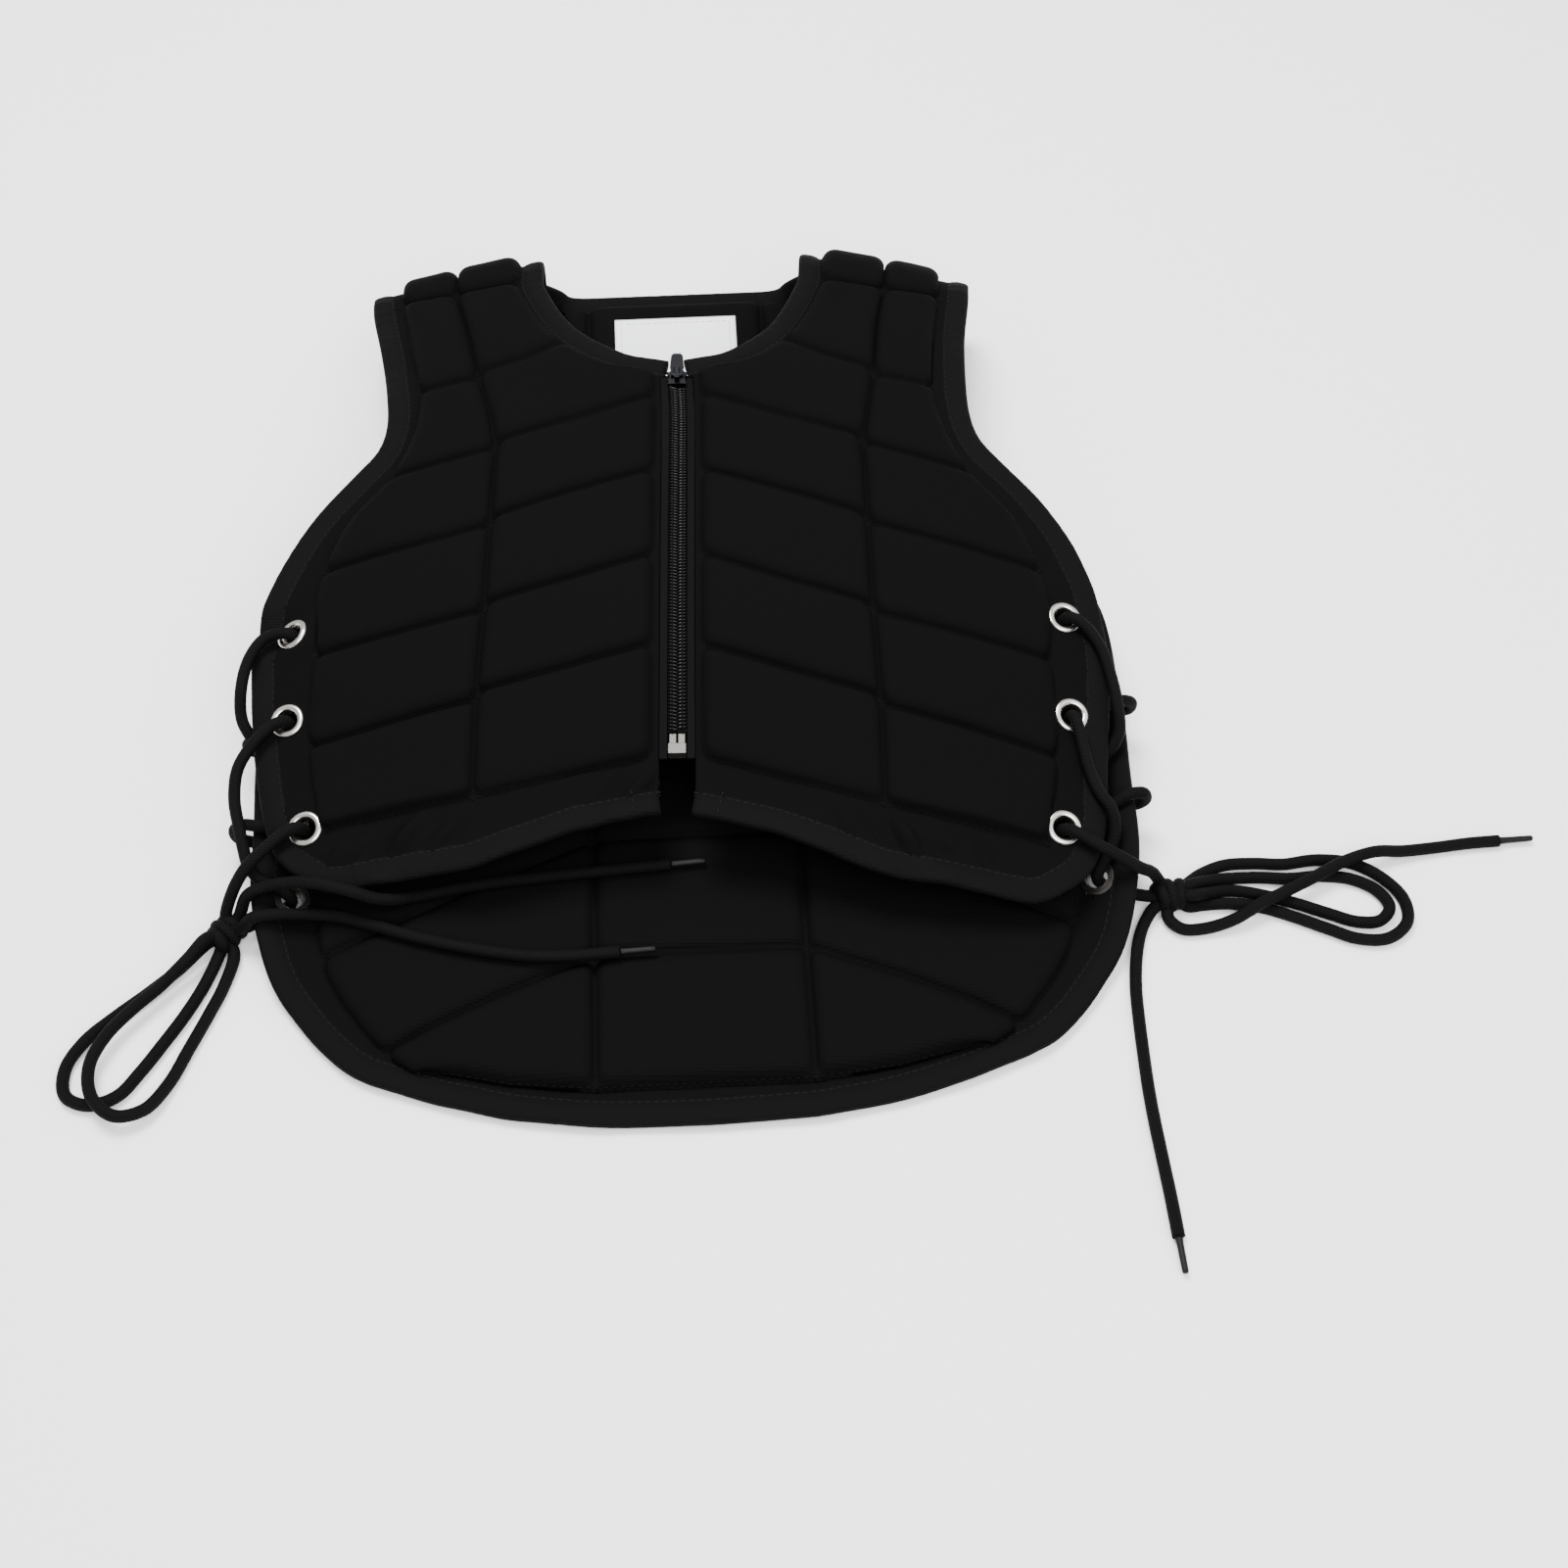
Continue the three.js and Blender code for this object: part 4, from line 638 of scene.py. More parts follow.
def shoulder_sheet(hand, foam):
    """A shoulder's middle surface, from the crease over the fold to the seam with the back."""
    sign = HANDS[hand]
    flat, numbers = strip(front_columns(np.array([7.0])), (20, 18, 34, 10))
    crease = flat[0]
    turns = clustered(56)
    x = crease[None, :, 0] * mix(1, SHOULDER_SPREAD, turns[:, None])
    start = fold_start(x)
    straight = start - crease[None, :, 1]
    run = turns[:, None] * (straight + FOLD_TURN * FOLD_DEPTH)
    angle = np.maximum(0, (run - straight) / FOLD_DEPTH)
    y = np.where(run < straight, crease[None, :, 1] + run, start + FOLD_DEPTH * np.sin(angle))
    over = FOAM_HALF + fold_height(x) * (1 + np.cos(angle))
    z = np.where(run < straight, front_middle(x, y), over)
    fx, fy = lay_front(sign * x, y)
    bx, by = lay_back(sign * x, y)
    share = smooth(turns[:, None])
    middle = np.stack([mix(fx, bx, share), mix(fy, by, share), z], -1)
    across = run_along(middle, 1)
    seam, side = nearest(numbers, 4)[2:]
    from_edges = np.minimum(across - ZIP_MARGIN, across[:, side, None] - across)
    sideways = np.minimum(from_edges, np.abs(across - across[:, seam, None]))
    lengthways = np.minimum(run, run.max(0) - run)
    block = round_block(np.maximum(sideways, 0), lengthways)
    half = np.where(from_edges > 0, padding_of(block, foam), CLOTH_HALF)
    half = half + 0.3 * block * waves(middle[..., 0], middle[..., 1], 40 + sign, 40)
    return middle, half, (), ()


SHEETS = {}


def sheets(settings):
    """Every panel's middle surface, worked out once."""
    foam = round(settings.padding / MM, 4)
    if not SHEETS:
        for hand in HANDS:
            SHEETS["front_" + hand] = front_sheet(hand, foam)
            SHEETS["shoulder_" + hand] = shoulder_sheet(hand, foam)
        SHEETS["back"] = back_sheet(foam)


# Tapes, cords and stitches


def resampled(points, step):
    run = np.concatenate([[0], np.cumsum(np.linalg.norm(np.diff(points, axis=0), axis=1))])
    keep = np.concatenate([[True], np.diff(run) > 1e-6])
    at = np.linspace(0, run[-1], max(2, int(round(run[-1] / step)) + 1))
    return np.stack([np.interp(at, run[keep], points[keep, k]) for k in range(points.shape[1])], -1)


def softened(values, times):
    out = values.copy()
    for _ in range(times):
        out[1:-1] = (out[:-2] + 2 * out[1:-1] + out[2:]) / 4
    return out


def edge_of(line, inner):
    """Stations along a sheet's edge: the place and the way out of the cloth."""
    return np.concatenate([line, line - inner], -1)


def tape_frames(stations):
    """Centre, outward and upward directions along a bound edge."""
    stations = np.concatenate([stations[:, :3], unit(stations[:, 3:])], -1)
    even = resampled(stations, TAPE_STEP)
    place, out = softened(even[:, :3], 5), softened(even[:, 3:], 9)
    along = unit(np.gradient(place, axis=0))
    out = unit(out - along * (out * along).sum(-1, keepdims=True))
    return place, out, upward(np.cross(along, out))


def circle(side, other, sides):
    """Places round a circle of radius 1, spanned by two directions."""
    turn = np.linspace(0, 2 * math.pi, sides, endpoint=False)[:, None]
    return side * np.cos(turn) + other * np.sin(turn)


def loft(rings):
    rings = np.asarray(rings)
    count, sides = rings.shape[:2]
    index = np.arange(count * sides).reshape(count, sides)
    after = np.roll(index, -1, axis=1)
    faces = np.stack([index[:-1], after[:-1], after[1:], index[1:]], -1).reshape(-1, 4).tolist()
    faces += [index[0, ::-1].tolist(), index[-1].tolist()]
    return rings.reshape(-1, 3), faces


def lofts(stacks):
    """One mesh from several stacks of rings."""
    points, faces, base = [], [], 0
    for rings in stacks:
        places, sides = loft(rings)
        points.append(places)
        faces += [[k + base for k in face] for face in sides]
        base += len(places)
    return np.concatenate(points), faces


def binding(name, stations, node):
    place, out, up = tape_frames(stations)
    width = (BINDING_WIDTH + BINDING_LAP) / 2
    centre = place + out * (width - BINDING_LAP)
    turn = np.linspace(0, 2 * math.pi, 24, endpoint=False)
    across = width * np.sign(np.cos(turn)) * np.abs(np.cos(turn)) ** 0.5
    through = BINDING_THICKNESS / 2 * np.sign(np.sin(turn)) * np.abs(np.sin(turn)) ** 0.7
    roll = mix(0.74, 1.0, smooth((across + width - BINDING_SEAM) / 5))
    dent = roll - 0.16 * np.exp(-((across + width - BINDING_SEAM) / 0.8) ** 2)
    along = np.arange(len(place)) * TAPE_STEP
    ripple = 1 + 0.05 * np.sin(along * 2 * math.pi / 7.3) * np.sin(along / 31)
    rings = (
        centre[:, None]
        + out[:, None] * across[None, :, None]
        + up[:, None] * (through * dent)[None, :, None] * ripple[:, None, None]
    )
    piece = new_object(name, *loft(rings))
    line = centre + out * (BINDING_SEAM - width)
    lift = up * (BINDING_THICKNESS / 2 * 0.5)
    stitches(name + "_stitches", [(line + lift, up), (line - lift, -up)])
    dress(piece, "Binding tape", "binding_tape", node)


def stitches(name, lines, look="Stitching thread"):
    """Small raised stitches along lines of places with their normals."""
    stacks = []
    ends = ((-0.5, 0.35), (-0.32, 1.0), (0.32, 1.0), (0.5, 0.35))
    for places, normals in lines:
        even = resampled(np.concatenate([places, normals], -1), STITCH_PITCH)
        along = unit(np.gradient(even[:, :3], axis=0))
        normal = unit(even[:, 3:])
        for p, a, n, s in zip(even[:, :3], along, normal, np.cross(normal, along)):
            ring = STITCH_WIDTH * circle(s, 0.7 * n, 6)
            stacks.append([p + a * STITCH_LENGTH * shift + ring * size for shift, size in ends])
    dress(new_object(name, *lofts(stacks)), look, "binding_tape")


def bartack(name, stations):
    """The stitches across the hem tape beside the zip."""
    place, out, up = tape_frames(stations)
    k = int(np.argmax(np.linalg.norm(place - place[0], axis=1) > BARTACK_INSET))
    t = np.linspace(-0.3, 0.68, 12)[:, None]
    line = place[k] + out[k] * BINDING_WIDTH * t + up[k] * BINDING_THICKNESS * 0.5
    stitches(name, [(line, np.broadcast_to(up[k], line.shape))])


def seam_stitches(name, middle, half, seams):
    normal = grid_normals(middle)
    upper = middle + normal * half[..., None]
    lines = []
    for kind, k, first, last in seams:
        run = slice(first, last + 1)
        picked = (k, run) if kind == "row" else (run, k)
        lines.append((upper[picked], normal[picked]))
    stitches(name, lines, "Seam thread")


def route_curve(points, step=1.2):
    """A smooth line through a route's points, the same kind of curve as in the part."""
    p = np.array(points, float)
    p = np.concatenate([[2 * p[0] - p[1]], p, [2 * p[-1] - p[-2]]])
    out = []
    for a, b, c, d in zip(p[:-3], p[1:-2], p[2:-1], p[3:]):
        t0 = np.linalg.norm(b - a) ** 0.5
        t1 = np.linalg.norm(c - b) ** 0.5
        t2 = np.linalg.norm(d - c) ** 0.5
        m1 = ((b - a) / t0 - (c - a) / (t0 + t1) + (c - b) / t1) * t1
        m2 = ((c - b) / t1 - (d - b) / (t1 + t2) + (d - c) / t2) * t1
        t = np.linspace(0, 1, max(3, int(np.linalg.norm(c - b) / step)), endpoint=False)[:, None]
        out.append(cubic(b, m1, c, m2, t))
    return resampled(np.concatenate(out + [p[-2:-1]]), step)


def tube(name, line, diameter, sides=16):
    """A round cord along a line, with its surface laid out in metres round and along."""
    along = unit(np.gradient(line, axis=0))
    side = np.cross(along[0], UP)
    side = unit(side) if np.linalg.norm(side) > 0.05 else np.array([1.0, 0, 0])
    turned = []
    for a in along:
        side = unit(side - a * side.dot(a))
        turned.append(side)
    turned = np.array(turned)
    ring = circle(turned[:, None], np.cross(along, turned)[:, None], sides)
    piece = new_object(name, *loft(line[:, None] + diameter / 2 * ring))
    layer = piece.data.uv_layers.new(name="round_and_along")
    length = np.concatenate([[0], np.cumsum(np.linalg.norm(np.diff(line, axis=0), axis=1))]) * MM
    loops = np.zeros(len(piece.data.loops), int)
    piece.data.loops.foreach_get("vertex_index", loops)
    ring, place = loops // sides, loops % sides
    starts = np.zeros(len(piece.data.polygons), int)
    piece.data.polygons.foreach_get("loop_start", starts)
    first = np.repeat(place[starts], np.diff(np.append(starts, len(loops))))
    wrapped = (place == 0) & (first == sides - 1)
    around = (place + wrapped * sides) / sides * math.pi * diameter * MM
    layer.data.foreach_set("uv", np.stack([around, length[ring]], -1).ravel())
    return piece


def into_knot(name):
    """A route whose ends near a knot go on into it."""
    points = [np.array((*p, LACE_ON_FLOOR)[:3], float) for p in ROUTES[name]]
    for end in (0, -1):
        place = points[end]
        centre = min(KNOT_CENTRES.values(), key=lambda c: np.linalg.norm(place - c))
        if np.linalg.norm(place - centre) < KNOT_REACH:
            points.insert(0 if end == 0 else len(points), mix(np.array(centre), place, 0.45))
    return points


def lace(name, diameter):
    """A lace along its route."""
    line = route_curve(into_knot(name))
    piece = tube(name + "_braid", line, diameter + BRAID_FULLNESS)
    dress(piece, "Braided lace", "lace_braid", name)
    if name.endswith("_run"):
        return
    free = "tail" in name
    [tag_piece(name.replace("lace", "tag"), line)] if free else []


def tag_piece(name, line):
    """The hard sleeve on a lace's end, pinched where it grips the braid."""
    along = unit(line[-1] - line[-4])
    along[2] = 0
    along = unit(along)
    steps = ((0.0, 1.0), (0.06, 0.95), (0.2, 0.86), (0.8, 0.8), (0.96, 0.78), (1.0, 0.6))
    ring = TAG_DIAMETER / 2 * circle(np.cross(along, UP), UP, 20)
    rings = [line[-1] + along * (0.3 + TAG_LENGTH * t) + ring * size for t, size in steps]
    piece = new_object(name + "_sleeve", *loft(rings))
    return dress(piece, "Clear film sleeve", "tag_film", name)


def knot(name, diameter):
    """The bow's knot: three turns of lace round one axis."""
    braid = diameter + BRAID_FULLNESS
    centre = np.array(KNOT_CENTRES[name], float)
    turn = np.linspace(0, 2 * math.pi, 90)[:, None]
    heading = math.radians(KNOT_HEADINGS[name])
    axis = np.array([math.cos(heading), math.sin(heading), 0.0])
    wraps = (("turns", 0.0, 0.1, 1.0), ("turn_0", 0.82, -0.2, 0.86), ("turn_1", -0.82, 0.28, 0.88))
    for ending, shift, tilt, size in wraps:
        across = np.array([-math.sin(heading + tilt), math.cos(heading + tilt), 0.15 * shift])
        reach = (KNOT_HALF_WIDTH - braid / 2) * 0.86 * size
        rise = (centre[2] - braid / 2 - FLOOR_GAP) * size
        ring = np.cos(turn) * across * reach + np.sin(turn) * UP * rise
        line = centre + axis * shift * diameter + ring
        piece = tube(f"{name}_{ending}", line, braid, 14)
        dress(piece, "Braided lace", "lace_braid", *([name] if ending == "turns" else []))


# Hard pieces


def lathe(name, profile, seat):
    """A turned piece on an eyelet's seat. The profile lists radius and height."""
    centre, normal = seat
    side = unit(np.cross(normal, (0.0, 1.0, 0.0)))
    ring = circle(side, np.cross(normal, side), 56)
    rings = np.array([centre + ring * r + normal * h for r, h in profile])
    index = np.arange(rings[..., 0].size).reshape(rings.shape[:2])
    after = np.roll(index, -1, axis=0)
    faces = np.stack([index, np.roll(index, -1, 1), np.roll(after, -1, 1), after], -1)
    return new_object(name, rings.reshape(-1, 3), faces.reshape(-1, 4))


def eyelet(node):
    """An eyelet with a smooth rim on the front's flaps and a ridged one on the back's."""
    top, inner = CLOTH_HALF, EYELET_BORE + 0.3
    if "back" in node:
        # Nickel on the back's eyelets, darkened as a painted reflection of the dark cloth round
        # them.
        look = "Nickel darkened for painted reflection"
        rim = [
            (mix(EYELET_RADIUS - 0.2, inner, t), top + 0.75 - 0.5 * math.cos(6 * math.pi * t))
            for t in np.linspace(0, 1, 31)
        ]
    else:
        look = "Satin nickel"
        rim = [
            (mix(EYELET_RADIUS, inner, (1 - math.cos(a)) / 2), top + 1.5 * math.sin(a) ** 0.8)
            for a in np.linspace(0.02, math.pi * 0.93, 14)
        ]
    under = -top - 0.2
    profile = [
        *rim,
        (EYELET_BORE, top - 0.4),
        (EYELET_BORE, under),
        (inner, under - 0.9),
        (EYELET_BORE + 0.9, under - 1.0),
        (EYELET_BORE + 1.4, under - 0.6),
        (EYELET_RADIUS - 0.8, under - 0.5),
        (EYELET_RADIUS - 0.4, under - 0.3),
        (EYELET_RADIUS - 0.4, under),
        (EYELET_BORE + 0.6, under),
        (EYELET_BORE + 0.6, top),
        (EYELET_RADIUS, top),
    ]
    dress(lathe(node + "_ring", profile, seat_of(node)), look, "nickel", node)


def bevelled_copy(node, name, width, look, slot, body="vest"):
    """A CAD piece with its edges broken, as the cast or pressed one has them."""
    source = NODES[node]
    piece = bpy.data.objects.new(name, source.data.copy())
    bpy.context.scene.collection.objects.link(piece)
    weld = piece.modifiers.new("Weld", "WELD")
    weld.merge_threshold = 1e-5
    bevel = piece.modifiers.new("Edges", "BEVEL")
    bevel.width = width * MM
    bevel.segments = 3
    bevel.limit_method = "ANGLE"
    bevel.angle_limit = math.radians(35)
    piece.data.materials.clear()
    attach(piece, body)
    dress(piece, look, slot, node)


def on_zip(y, height=0.0):
    x, laid = lay_front(np.zeros_like(y), y)
    return np.stack([x, laid, front_middle(np.zeros_like(y), y) + height], -1)


def zip_span(node):
    """Where a piece of the zip starts and ends along the garment."""
    return [corner[1] / MM - OFFSET[1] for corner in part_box(node)]


def ribbon(name, middle, half_width, half_thickness):
    """A flat strip of tape across the garment."""
    w, t = half_width, half_thickness
    corners = np.array([(-w, 0, -t), (w, 0, -t), (w, 0, t), (-w, 0, t)])
    piece = new_object(name, *loft(middle[:, None] + corners), shaded=False)
    dress(piece, "Binding tape", "binding_tape")


def zip_coil():
    """Two rows of nylon turns that mesh along the middle, over the cords that hold them."""
    foot, head = zip_span("zip_coil")
    ring = circle(np.array([0, TURN_HALF, 0]), UP * COIL_HEIGHT / 2, 8)
    stations = ((-0.5, 0.3), (-0.42, 0.8), (-0.15, 1.0), (0.3, 0.9), (0.45, 0.75), (0.5, 0.3))
    stacks = []
    for sign in (-1, 1):
        lean = np.array([1.0, 0.13 * sign, 0]) * TURN_LENGTH
        start = foot + 1 + (0.5 * TOOTH_PITCH if sign > 0 else 0)
        for y in np.arange(start, head - 1, TOOTH_PITCH):
            centre = on_zip(np.array([y]), 0.1)[0] + (sign * TURN_PLACE, 0, 0)
            stacks.append([centre + lean * t + ring * size for t, size in stations])
    dress(new_object("zip_coil_turns", *lofts(stacks)), "Zip nylon", "zip_nylon", "zip_coil")
    y = np.arange(foot, head, 4.0)
    ribbon("zip_coil_bed", on_zip(y, -0.5), COIL_WIDTH / 2, 0.4)
    for hand, sign in (("left", -1), ("right", 1)):
        sewn = on_zip(y, COIL_HEIGHT / 2) + (sign * THREAD_PLACE, 0, 0)
        thread = tube(f"zip_coil_thread_{hand}", sewn, THREAD_DIAMETER, 8)
        dress(thread, "Seam thread", "zip_nylon")


def zip_backing():
    """The tape that shows past the slider's sides."""
    low, high = zip_span("zip_slider")
    middle = on_zip(np.linspace(low - 6, high + 2, 12), -BACKING_DROP)
    ribbon("zip_backing", middle, ZIP_EDGE + 2, 0.3)


def neck_label():
    """The blank label, which follows the pads below the neck, with its hem stitched down."""
    top = BACK_ROWS[-1][1] * BACK_LENGTH / 100 - LABEL_DROP
    x = np.linspace(-LABEL_WIDTH / 2, LABEL_WIDTH / 2, 40)
    y = np.linspace(top - LABEL_HEIGHT, top, 34)
    gx, gy = np.meshgrid(x, y)
    rows = np.array([0, 182, 189, 227.5])
    face = np.interp(gy, rows, back_middle(np.zeros(len(rows)), rows))
    edge = np.minimum(LABEL_WIDTH / 2 - np.abs(gx), np.minimum(gy - y[0], y[-1] - gy))
    face = face + FOAM_HALF + 0.9 + 0.25 * waves(gx, gy, 77, 30) * smooth(edge / 8)
    middle = np.stack([*lay_back(gx, gy), face], -1)
    piece = new_object("neck_label_satin", *panel_mesh(middle, np.full_like(face, 0.28)))
    dress(piece, "White label satin", "label_satin", "neck_label")
    loop = edge_round(middle[2:-2, 2:-2]) + UP * 0.3
    stitches("neck_label_stitches", [(loop, np.broadcast_to(UP, loop.shape))], "White thread")


# Finishes: colour, roughness, metal, sheen and shine. Pattern sizes are in millimetres of the
# real cloth.

FINISHES = {
    "Outer cloth": ("#070707", 0.9, 0.0, 0.0, 0.04),
    "Lining knit": ("#070707", 0.85, 0.0, 0.0, 0.04),
    "Binding tape": ("#070707", 0.8, 0.0, 0.0, 0.06),
    "Stitching thread": ("#0c0c0c", 0.7, 0.0, 0.0, 0.08),
    "Seam thread": ("#060607", 0.7, 0.0, 0.0, 0.05),
    "White thread": ("#dfe2e4", 0.6, 0.0, 0.2, 0.5),
    "Braided lace": ("#080808", 0.75, 0.0, 0.0, 0.06),
    "Clear film sleeve": ("#0b0b0c", 0.5, 0.0, 0.0, 0.15),
    "Zip nylon": ("#0a0a0a", 0.3, 0.0, 0.0, 0.22),
    "Satin nickel": ("#d6d3cd", 0.24, 1.0, 0.0, 0.5),
    # Nickel darkened to stand in for the dark cloth that it reflects: a painted reflection.
    "Nickel darkened for painted reflection": ("#5c5a57", 0.42, 1.0, 0.0, 0.5),
    "Gunmetal": ("#2b2b2e", 0.36, 1.0, 0.0, 0.5),
    "White label satin": ("#f2f4f6", 0.5, 0.0, 0.1, 0.5),
    "Pale floor": ("#ffffff", 0.95, 0.0, 0.0, 0.1),
}


def linear(hex_colour):
    """An sRGB colour as the linear values that a shader takes."""
    values = [int(hex_colour[k : k + 2], 16) / 255 for k in (1, 3, 5)]
    return [v / 12.92 if v <= 0.04045 else ((v + 0.055) / 1.055) ** 2.4 for v in values] + [1.0]


def add_node(tree, kind, inputs=None, **settings):
    node = tree.nodes.new(kind)
    for name, value in settings.items():
        setattr(node, name, value)
    for name, value in (inputs or {}).items():
        if isinstance(value, bpy.types.NodeSocket):
            tree.links.new(value, node.inputs[name])
        else:
            node.inputs[name].default_value = value
    return node


def bump_on(tree, height, millimetres, before=None):
    inputs = {"Height": height, "Distance": millimetres * MM, "Strength": 1.0}
    if before:
        inputs["Normal"] = before
    return add_node(tree, "ShaderNodeBump", inputs).outputs["Normal"]


def noise(tree, place, millimetres, detail):
    inputs = {"Vector": place, "Scale": 1 / (millimetres * MM), "Detail": detail}
    return add_node(tree, "ShaderNodeTexNoise", inputs).outputs["Fac"]


def bands(tree, place, millimetres, direction, **shape):
    """Ridges at a real spacing. At scale 1 the texture has 20 radians to the metre."""
    inputs = {"Vector": place, "Scale": 2 * math.pi / 20 / (millimetres * MM), **shape}
    wave = add_node(tree, "ShaderNodeTexWave", inputs, bands_direction=direction)
    return wave.outputs["Fac"]


def cloth_bump(tree, weave, depth, creases, crease_depth, ribs=0.0):
    """Creases, yarns and, on a knit or tape, ribs across the garment."""
    place = add_node(tree, "ShaderNodeTexCoord").outputs["Object"]
    normal = bump_on(tree, noise(tree, place, creases, 3.0), crease_depth)
    normal = bump_on(tree, noise(tree, place, weave, 2.0), depth, normal)
    if ribs:
        wave = bands(tree, place, ribs, "Y", Distortion=0.6, Detail=1.0)
        normal = bump_on(tree, wave, 0.1, normal)
    return normal


def braid_bump(tree):
    """Strands that cross over one another round the cord, from its own surface layout."""
    place = add_node(tree, "ShaderNodeUVMap", uv_map="round_and_along").outputs["UV"]
    heights = {}
    for k, turn in enumerate((0.9, -0.9)):
        turned = add_node(tree, "ShaderNodeMapping", {"Vector": place, "Rotation": (0, 0, turn)})
        heights[k] = bands(tree, turned.outputs["Vector"], 1.3, "X")
    both = add_node(tree, "ShaderNodeMath", heights, operation="MAXIMUM")
    return bump_on(tree, both.outputs["Value"], 0.25)


BUMPS = {
    "Outer cloth": lambda tree: cloth_bump(tree, 0.7, 0.05, 9, 0.35),
    "Lining knit": lambda tree: cloth_bump(tree, 0.8, 0.06, 11, 0.3, ribs=1.3),
    "Binding tape": lambda tree: cloth_bump(tree, 0.9, 0.08, 4, 0.15, ribs=1.1),
    "Braided lace": braid_bump,
    "White label satin": lambda tree: cloth_bump(tree, 0.5, 0.03, 7, 0.15),
    "Satin nickel": lambda tree: cloth_bump(tree, 0.4, 0.01, 3, 0.02),
}


def material(name):
    if name in bpy.data.materials:
        return bpy.data.materials[name]
    colour, roughness, metallic, sheen, shine = FINISHES[name]
    look = bpy.data.materials.new(name)
    look.use_nodes = True
    tree = look.node_tree
    shader = tree.nodes["Principled BSDF"]
    shader.inputs["Base Color"].default_value = linear(colour)
    shader.inputs["Roughness"].default_value = roughness
    shader.inputs["Metallic"].default_value = metallic
    shader.inputs["Specular IOR Level"].default_value = shine
    shader.inputs["Sheen Weight"].default_value = sheen
    shader.inputs["Sheen Roughness"].default_value = 0.5
    if name in BUMPS:
        tree.links.new(BUMPS[name](tree), shader.inputs["Normal"])
    return look


# The pieces, group by group


def quilted(name, node, look):
    """A padded panel with the holes for its eyelets and the stitches of its seams."""
    middle, half, seats, seams = SHEETS[name]
    piece = new_object(f"{name}_quilting", *panel_mesh(middle, half, seats))
    dress(piece, look, "shell_cloth", node)
    if seams:
        seam_stitches(f"{name}_stitches", middle, half, seams)


def build_panels(settings):
    sheets(settings)
    shader = material("Outer cloth").node_tree.nodes["Principled BSDF"]
    shader.inputs["Base Color"].default_value = settings.cloth
    for hand in HANDS:
        quilted(f"front_{hand}", f"front_panel_{hand}", "Outer cloth")
        quilted(f"shoulder_{hand}", f"shoulder_{hand}", "Outer cloth")
    quilted("back", "back_panel", "Lining knit")


def build_bindings(settings):
    sheets(settings)
    back = SHEETS["back"][0]
    centre = back.shape[1] // 2
    start = int(np.argmax(row_keys(0, 7, FRONT_STEPS) >= COLLAR_ROW))
    runs, necks = [], []
    for hand, sign in HANDS.items():
        front, shoulder = SHEETS["front_" + hand][0], SHEETS["shoulder_" + hand][0]
        half = back[:, centre::sign]
        hem = edge_of(front[0], front[3])[:-3]
        flap = edge_of(front[:, -1], front[:, -3])[3:]
        fold = edge_of(shoulder[:, -1], shoulder[:, -3])[2:-2]
        side = edge_of(half[:, -1], half[:, -3])[:2:-1]
        tail = edge_of(half[0], half[3])[-4::-1]
        runs.append(np.concatenate([hem, flap, fold, side, tail]))
        bartack(f"bartack_{hand}_stitches", hem)
        collar = edge_of(front[start:, 0], front[start:, 2])
        collar[0, 0] -= COLLAR_REACH * sign
        necks.append(np.concatenate([collar, edge_of(shoulder[:, 0], shoulder[:, 2])[2:-6]]))
    binding("edge_tape", np.concatenate([runs[0], runs[1][::-1][1:]]), "edge_binding")
    reach = int(np.argmin(np.abs(back[-1, centre:, 0] - back[-1, centre, 0] - NAPE_HALF)))
    width = slice(centre - reach, centre + reach + 1)
    nape = edge_of(back[-1, width], back[-4, width])
    binding("neck_tape", np.concatenate([necks[0], nape[::-1], necks[1][::-1]]), "neck_binding")


def build_eyelets():
    for node in sorted(NODES):
        if node.startswith("eyelet_"):
            eyelet(node)


def build_zip():
    zip_coil()
    zip_backing()
    for node in ("zip_tape_right", "zip_tape_left"):
        materials = NODES[node].data.materials
        materials.clear()
        materials.append(material("Binding tape"))
    bevelled_copy("zip_slider", "zip_slider_body", 0.35, "Gunmetal", "gunmetal")
    bevelled_copy("zip_pull", "zip_pull_tab", 0.3, "Gunmetal", "gunmetal", body="zip_pull")
    # The box takes the same nickel, darkened as a painted reflection.
    bevelled_copy("zip_bottom_box", "zip_box_body", 0.3, "Nickel darkened for painted reflection", "nickel")


def build_laces(settings):
    diameter = round(settings.lace / MM, 4)
    for name in ROUTES:
        lace(name, diameter)
    for name in KNOT_CENTRES:
        knot(name, diameter)


# Stage


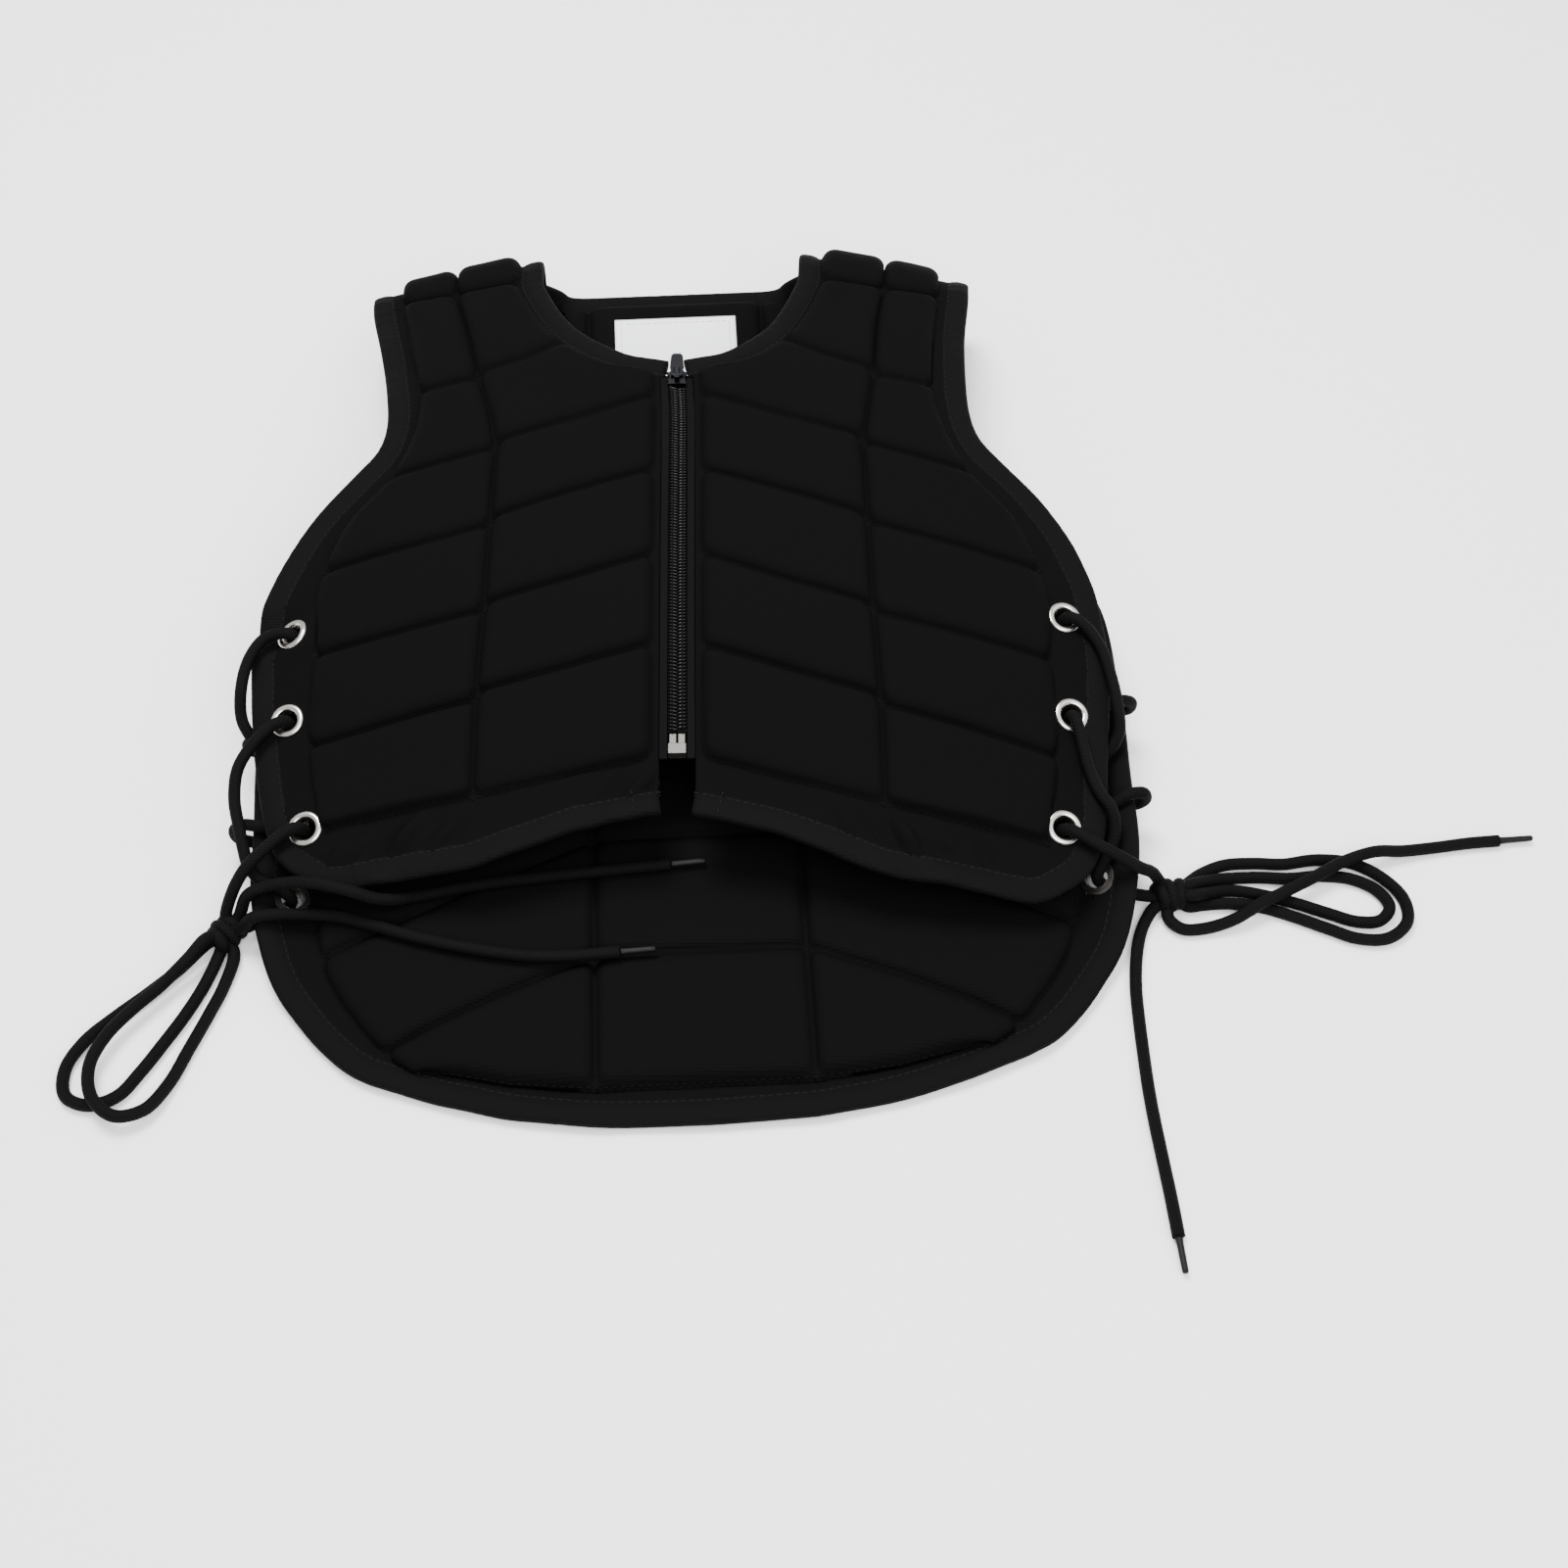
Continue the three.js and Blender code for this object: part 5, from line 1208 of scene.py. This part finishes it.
def set_stage(settings):
    scene = bpy.context.scene
    bpy.ops.mesh.primitive_plane_add(size=12, location=(0, 0, 0))
    floor = bpy.context.object
    floor.name = "floor"
    floor.data.materials.append(material("Pale floor"))
    for name, place, size, power in (
        ("key", (-0.35, 0.6, 1.9), 1.0, 70),
        ("fill", (0.4, -1.1, 1.6), 1.6, 50),
        ("side", (1.5, 0.2, 1.5), 1.6, 10),
    ):
        light = bpy.data.lights.new(name, "AREA")
        light.shape = "DISK"
        light.size = size
        light.energy = power
        lamp = bpy.data.objects.new(name, light)
        lamp.location = place
        lamp.rotation_euler = (-Vector(place)).to_track_quat("-Z", "Y").to_euler()
        scene.collection.objects.link(lamp)
    world = bpy.data.worlds.new("Soft room")
    world.use_nodes = True
    inputs = world.node_tree.nodes["Background"].inputs
    inputs["Color"].default_value = (1, 1, 1, 1)
    inputs["Strength"].default_value = settings.daylight
    scene.world = world
    down, turn = math.radians(CAMERA_DOWN), math.radians(CAMERA_TURN)
    level = math.cos(down)
    forward = Vector((math.sin(turn) * level, math.cos(turn) * level, -math.sin(down)))
    right = Vector((math.cos(turn), -math.sin(turn), 0))
    up = right.cross(forward)
    place = (Vector(CAMERA_PLACE) + Vector(OFFSET)) * MM
    data = bpy.data.cameras.new("camera")
    data.lens, data.sensor_width = LENS, SENSOR
    camera = bpy.data.objects.new("camera", data)
    turned = Matrix((right, up, -forward)).transposed().to_4x4()
    camera.matrix_world = Matrix.Translation(place) @ turned
    scene.collection.objects.link(camera)
    scene.camera = camera


# The add-on


class GarmentSettings(bpy.types.PropertyGroup):
    cloth: bpy.props.FloatVectorProperty(
        name="Cloth colour",
        description="Colour of the outer cloth",
        subtype="COLOR",
        size=4,
        min=0,
        max=1,
        default=linear(FINISHES["Outer cloth"][0]),
    )
    padding: bpy.props.FloatProperty(
        name="Padding",
        description="Half of the foam's thickness",
        subtype="DISTANCE",
        default=FOAM_HALF * MM,
    )
    lace: bpy.props.FloatProperty(
        name="Lace diameter",
        description="Thickness of the laces",
        subtype="DISTANCE",
        default=LACE_DIAMETER * MM,
    )
    daylight: bpy.props.FloatProperty(
        name="Daylight",
        description="Strength of the light from all round",
        min=0,
        default=0.76,
    )


class GARMENT_OT_laces(bpy.types.Operator):
    """Build the laces, their knots and their sleeves"""

    bl_idname = "garment.laces"
    bl_label = "Laces"

    def execute(self, context):
        build_laces(context.scene.garment)
        return {"FINISHED"}


class GARMENT_OT_panels(bpy.types.Operator):
    """Build the quilted panels and their seams"""

    bl_idname = "garment.panels"
    bl_label = "Quilted panels"

    def execute(self, context):
        build_panels(context.scene.garment)
        return {"FINISHED"}


class GARMENT_OT_bindings(bpy.types.Operator):
    """Bind the edges of the cloth"""

    bl_idname = "garment.bindings"
    bl_label = "Bindings"

    def execute(self, context):
        build_bindings(context.scene.garment)
        return {"FINISHED"}


class GARMENT_OT_eyelets(bpy.types.Operator):
    """Build the pressed eyelets"""

    bl_idname = "garment.eyelets"
    bl_label = "Eyelets"

    def execute(self, context):
        build_eyelets()
        return {"FINISHED"}


class GARMENT_OT_zip(bpy.types.Operator):
    """Build the zip"""

    bl_idname = "garment.zip"
    bl_label = "Zip"

    def execute(self, context):
        build_zip()
        return {"FINISHED"}


class GARMENT_OT_label(bpy.types.Operator):
    """Build the blank label below the neck"""

    bl_idname = "garment.label"
    bl_label = "Label"

    def execute(self, context):
        neck_label()
        return {"FINISHED"}


class GARMENT_OT_stage(bpy.types.Operator):
    """Set the camera, the floor and the lights"""

    bl_idname = "garment.stage"
    bl_label = "Stage"

    def execute(self, context):
        set_stage(context.scene.garment)
        return {"FINISHED"}


class GARMENT_PT_panel(bpy.types.Panel):
    """Sizes, colours and pieces of the garment"""

    bl_idname = "GARMENT_PT_panel"
    bl_label = "Garment"
    bl_space_type = "VIEW_3D"
    bl_region_type = "UI"
    bl_category = "Garment"

    def draw(self, context):
        for name in GarmentSettings.__annotations__:
            self.layout.prop(context.scene.garment, name)
        for operator in OPERATORS:
            self.layout.operator(operator.bl_idname)


OPERATORS = (
    GARMENT_OT_stage,
    GARMENT_OT_laces,
    GARMENT_OT_panels,
    GARMENT_OT_bindings,
    GARMENT_OT_eyelets,
    GARMENT_OT_zip,
    GARMENT_OT_label,
)


def register():
    for kind in (GarmentSettings, *OPERATORS, GARMENT_PT_panel):
        bpy.utils.register_class(kind)
    bpy.types.Scene.garment = bpy.props.PointerProperty(type=GarmentSettings)


def unregister():
    del bpy.types.Scene.garment
    for kind in (GARMENT_PT_panel, *reversed(OPERATORS), GarmentSettings):
        bpy.utils.unregister_class(kind)


def main():
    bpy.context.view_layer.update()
    register()
    bpy.ops.garment.stage()
    bpy.ops.garment.laces()
    bpy.ops.garment.panels()
    bpy.ops.garment.bindings()
    bpy.ops.garment.eyelets()
    bpy.ops.garment.zip()
    bpy.ops.garment.label()


if __name__ == "__main__":
    main()
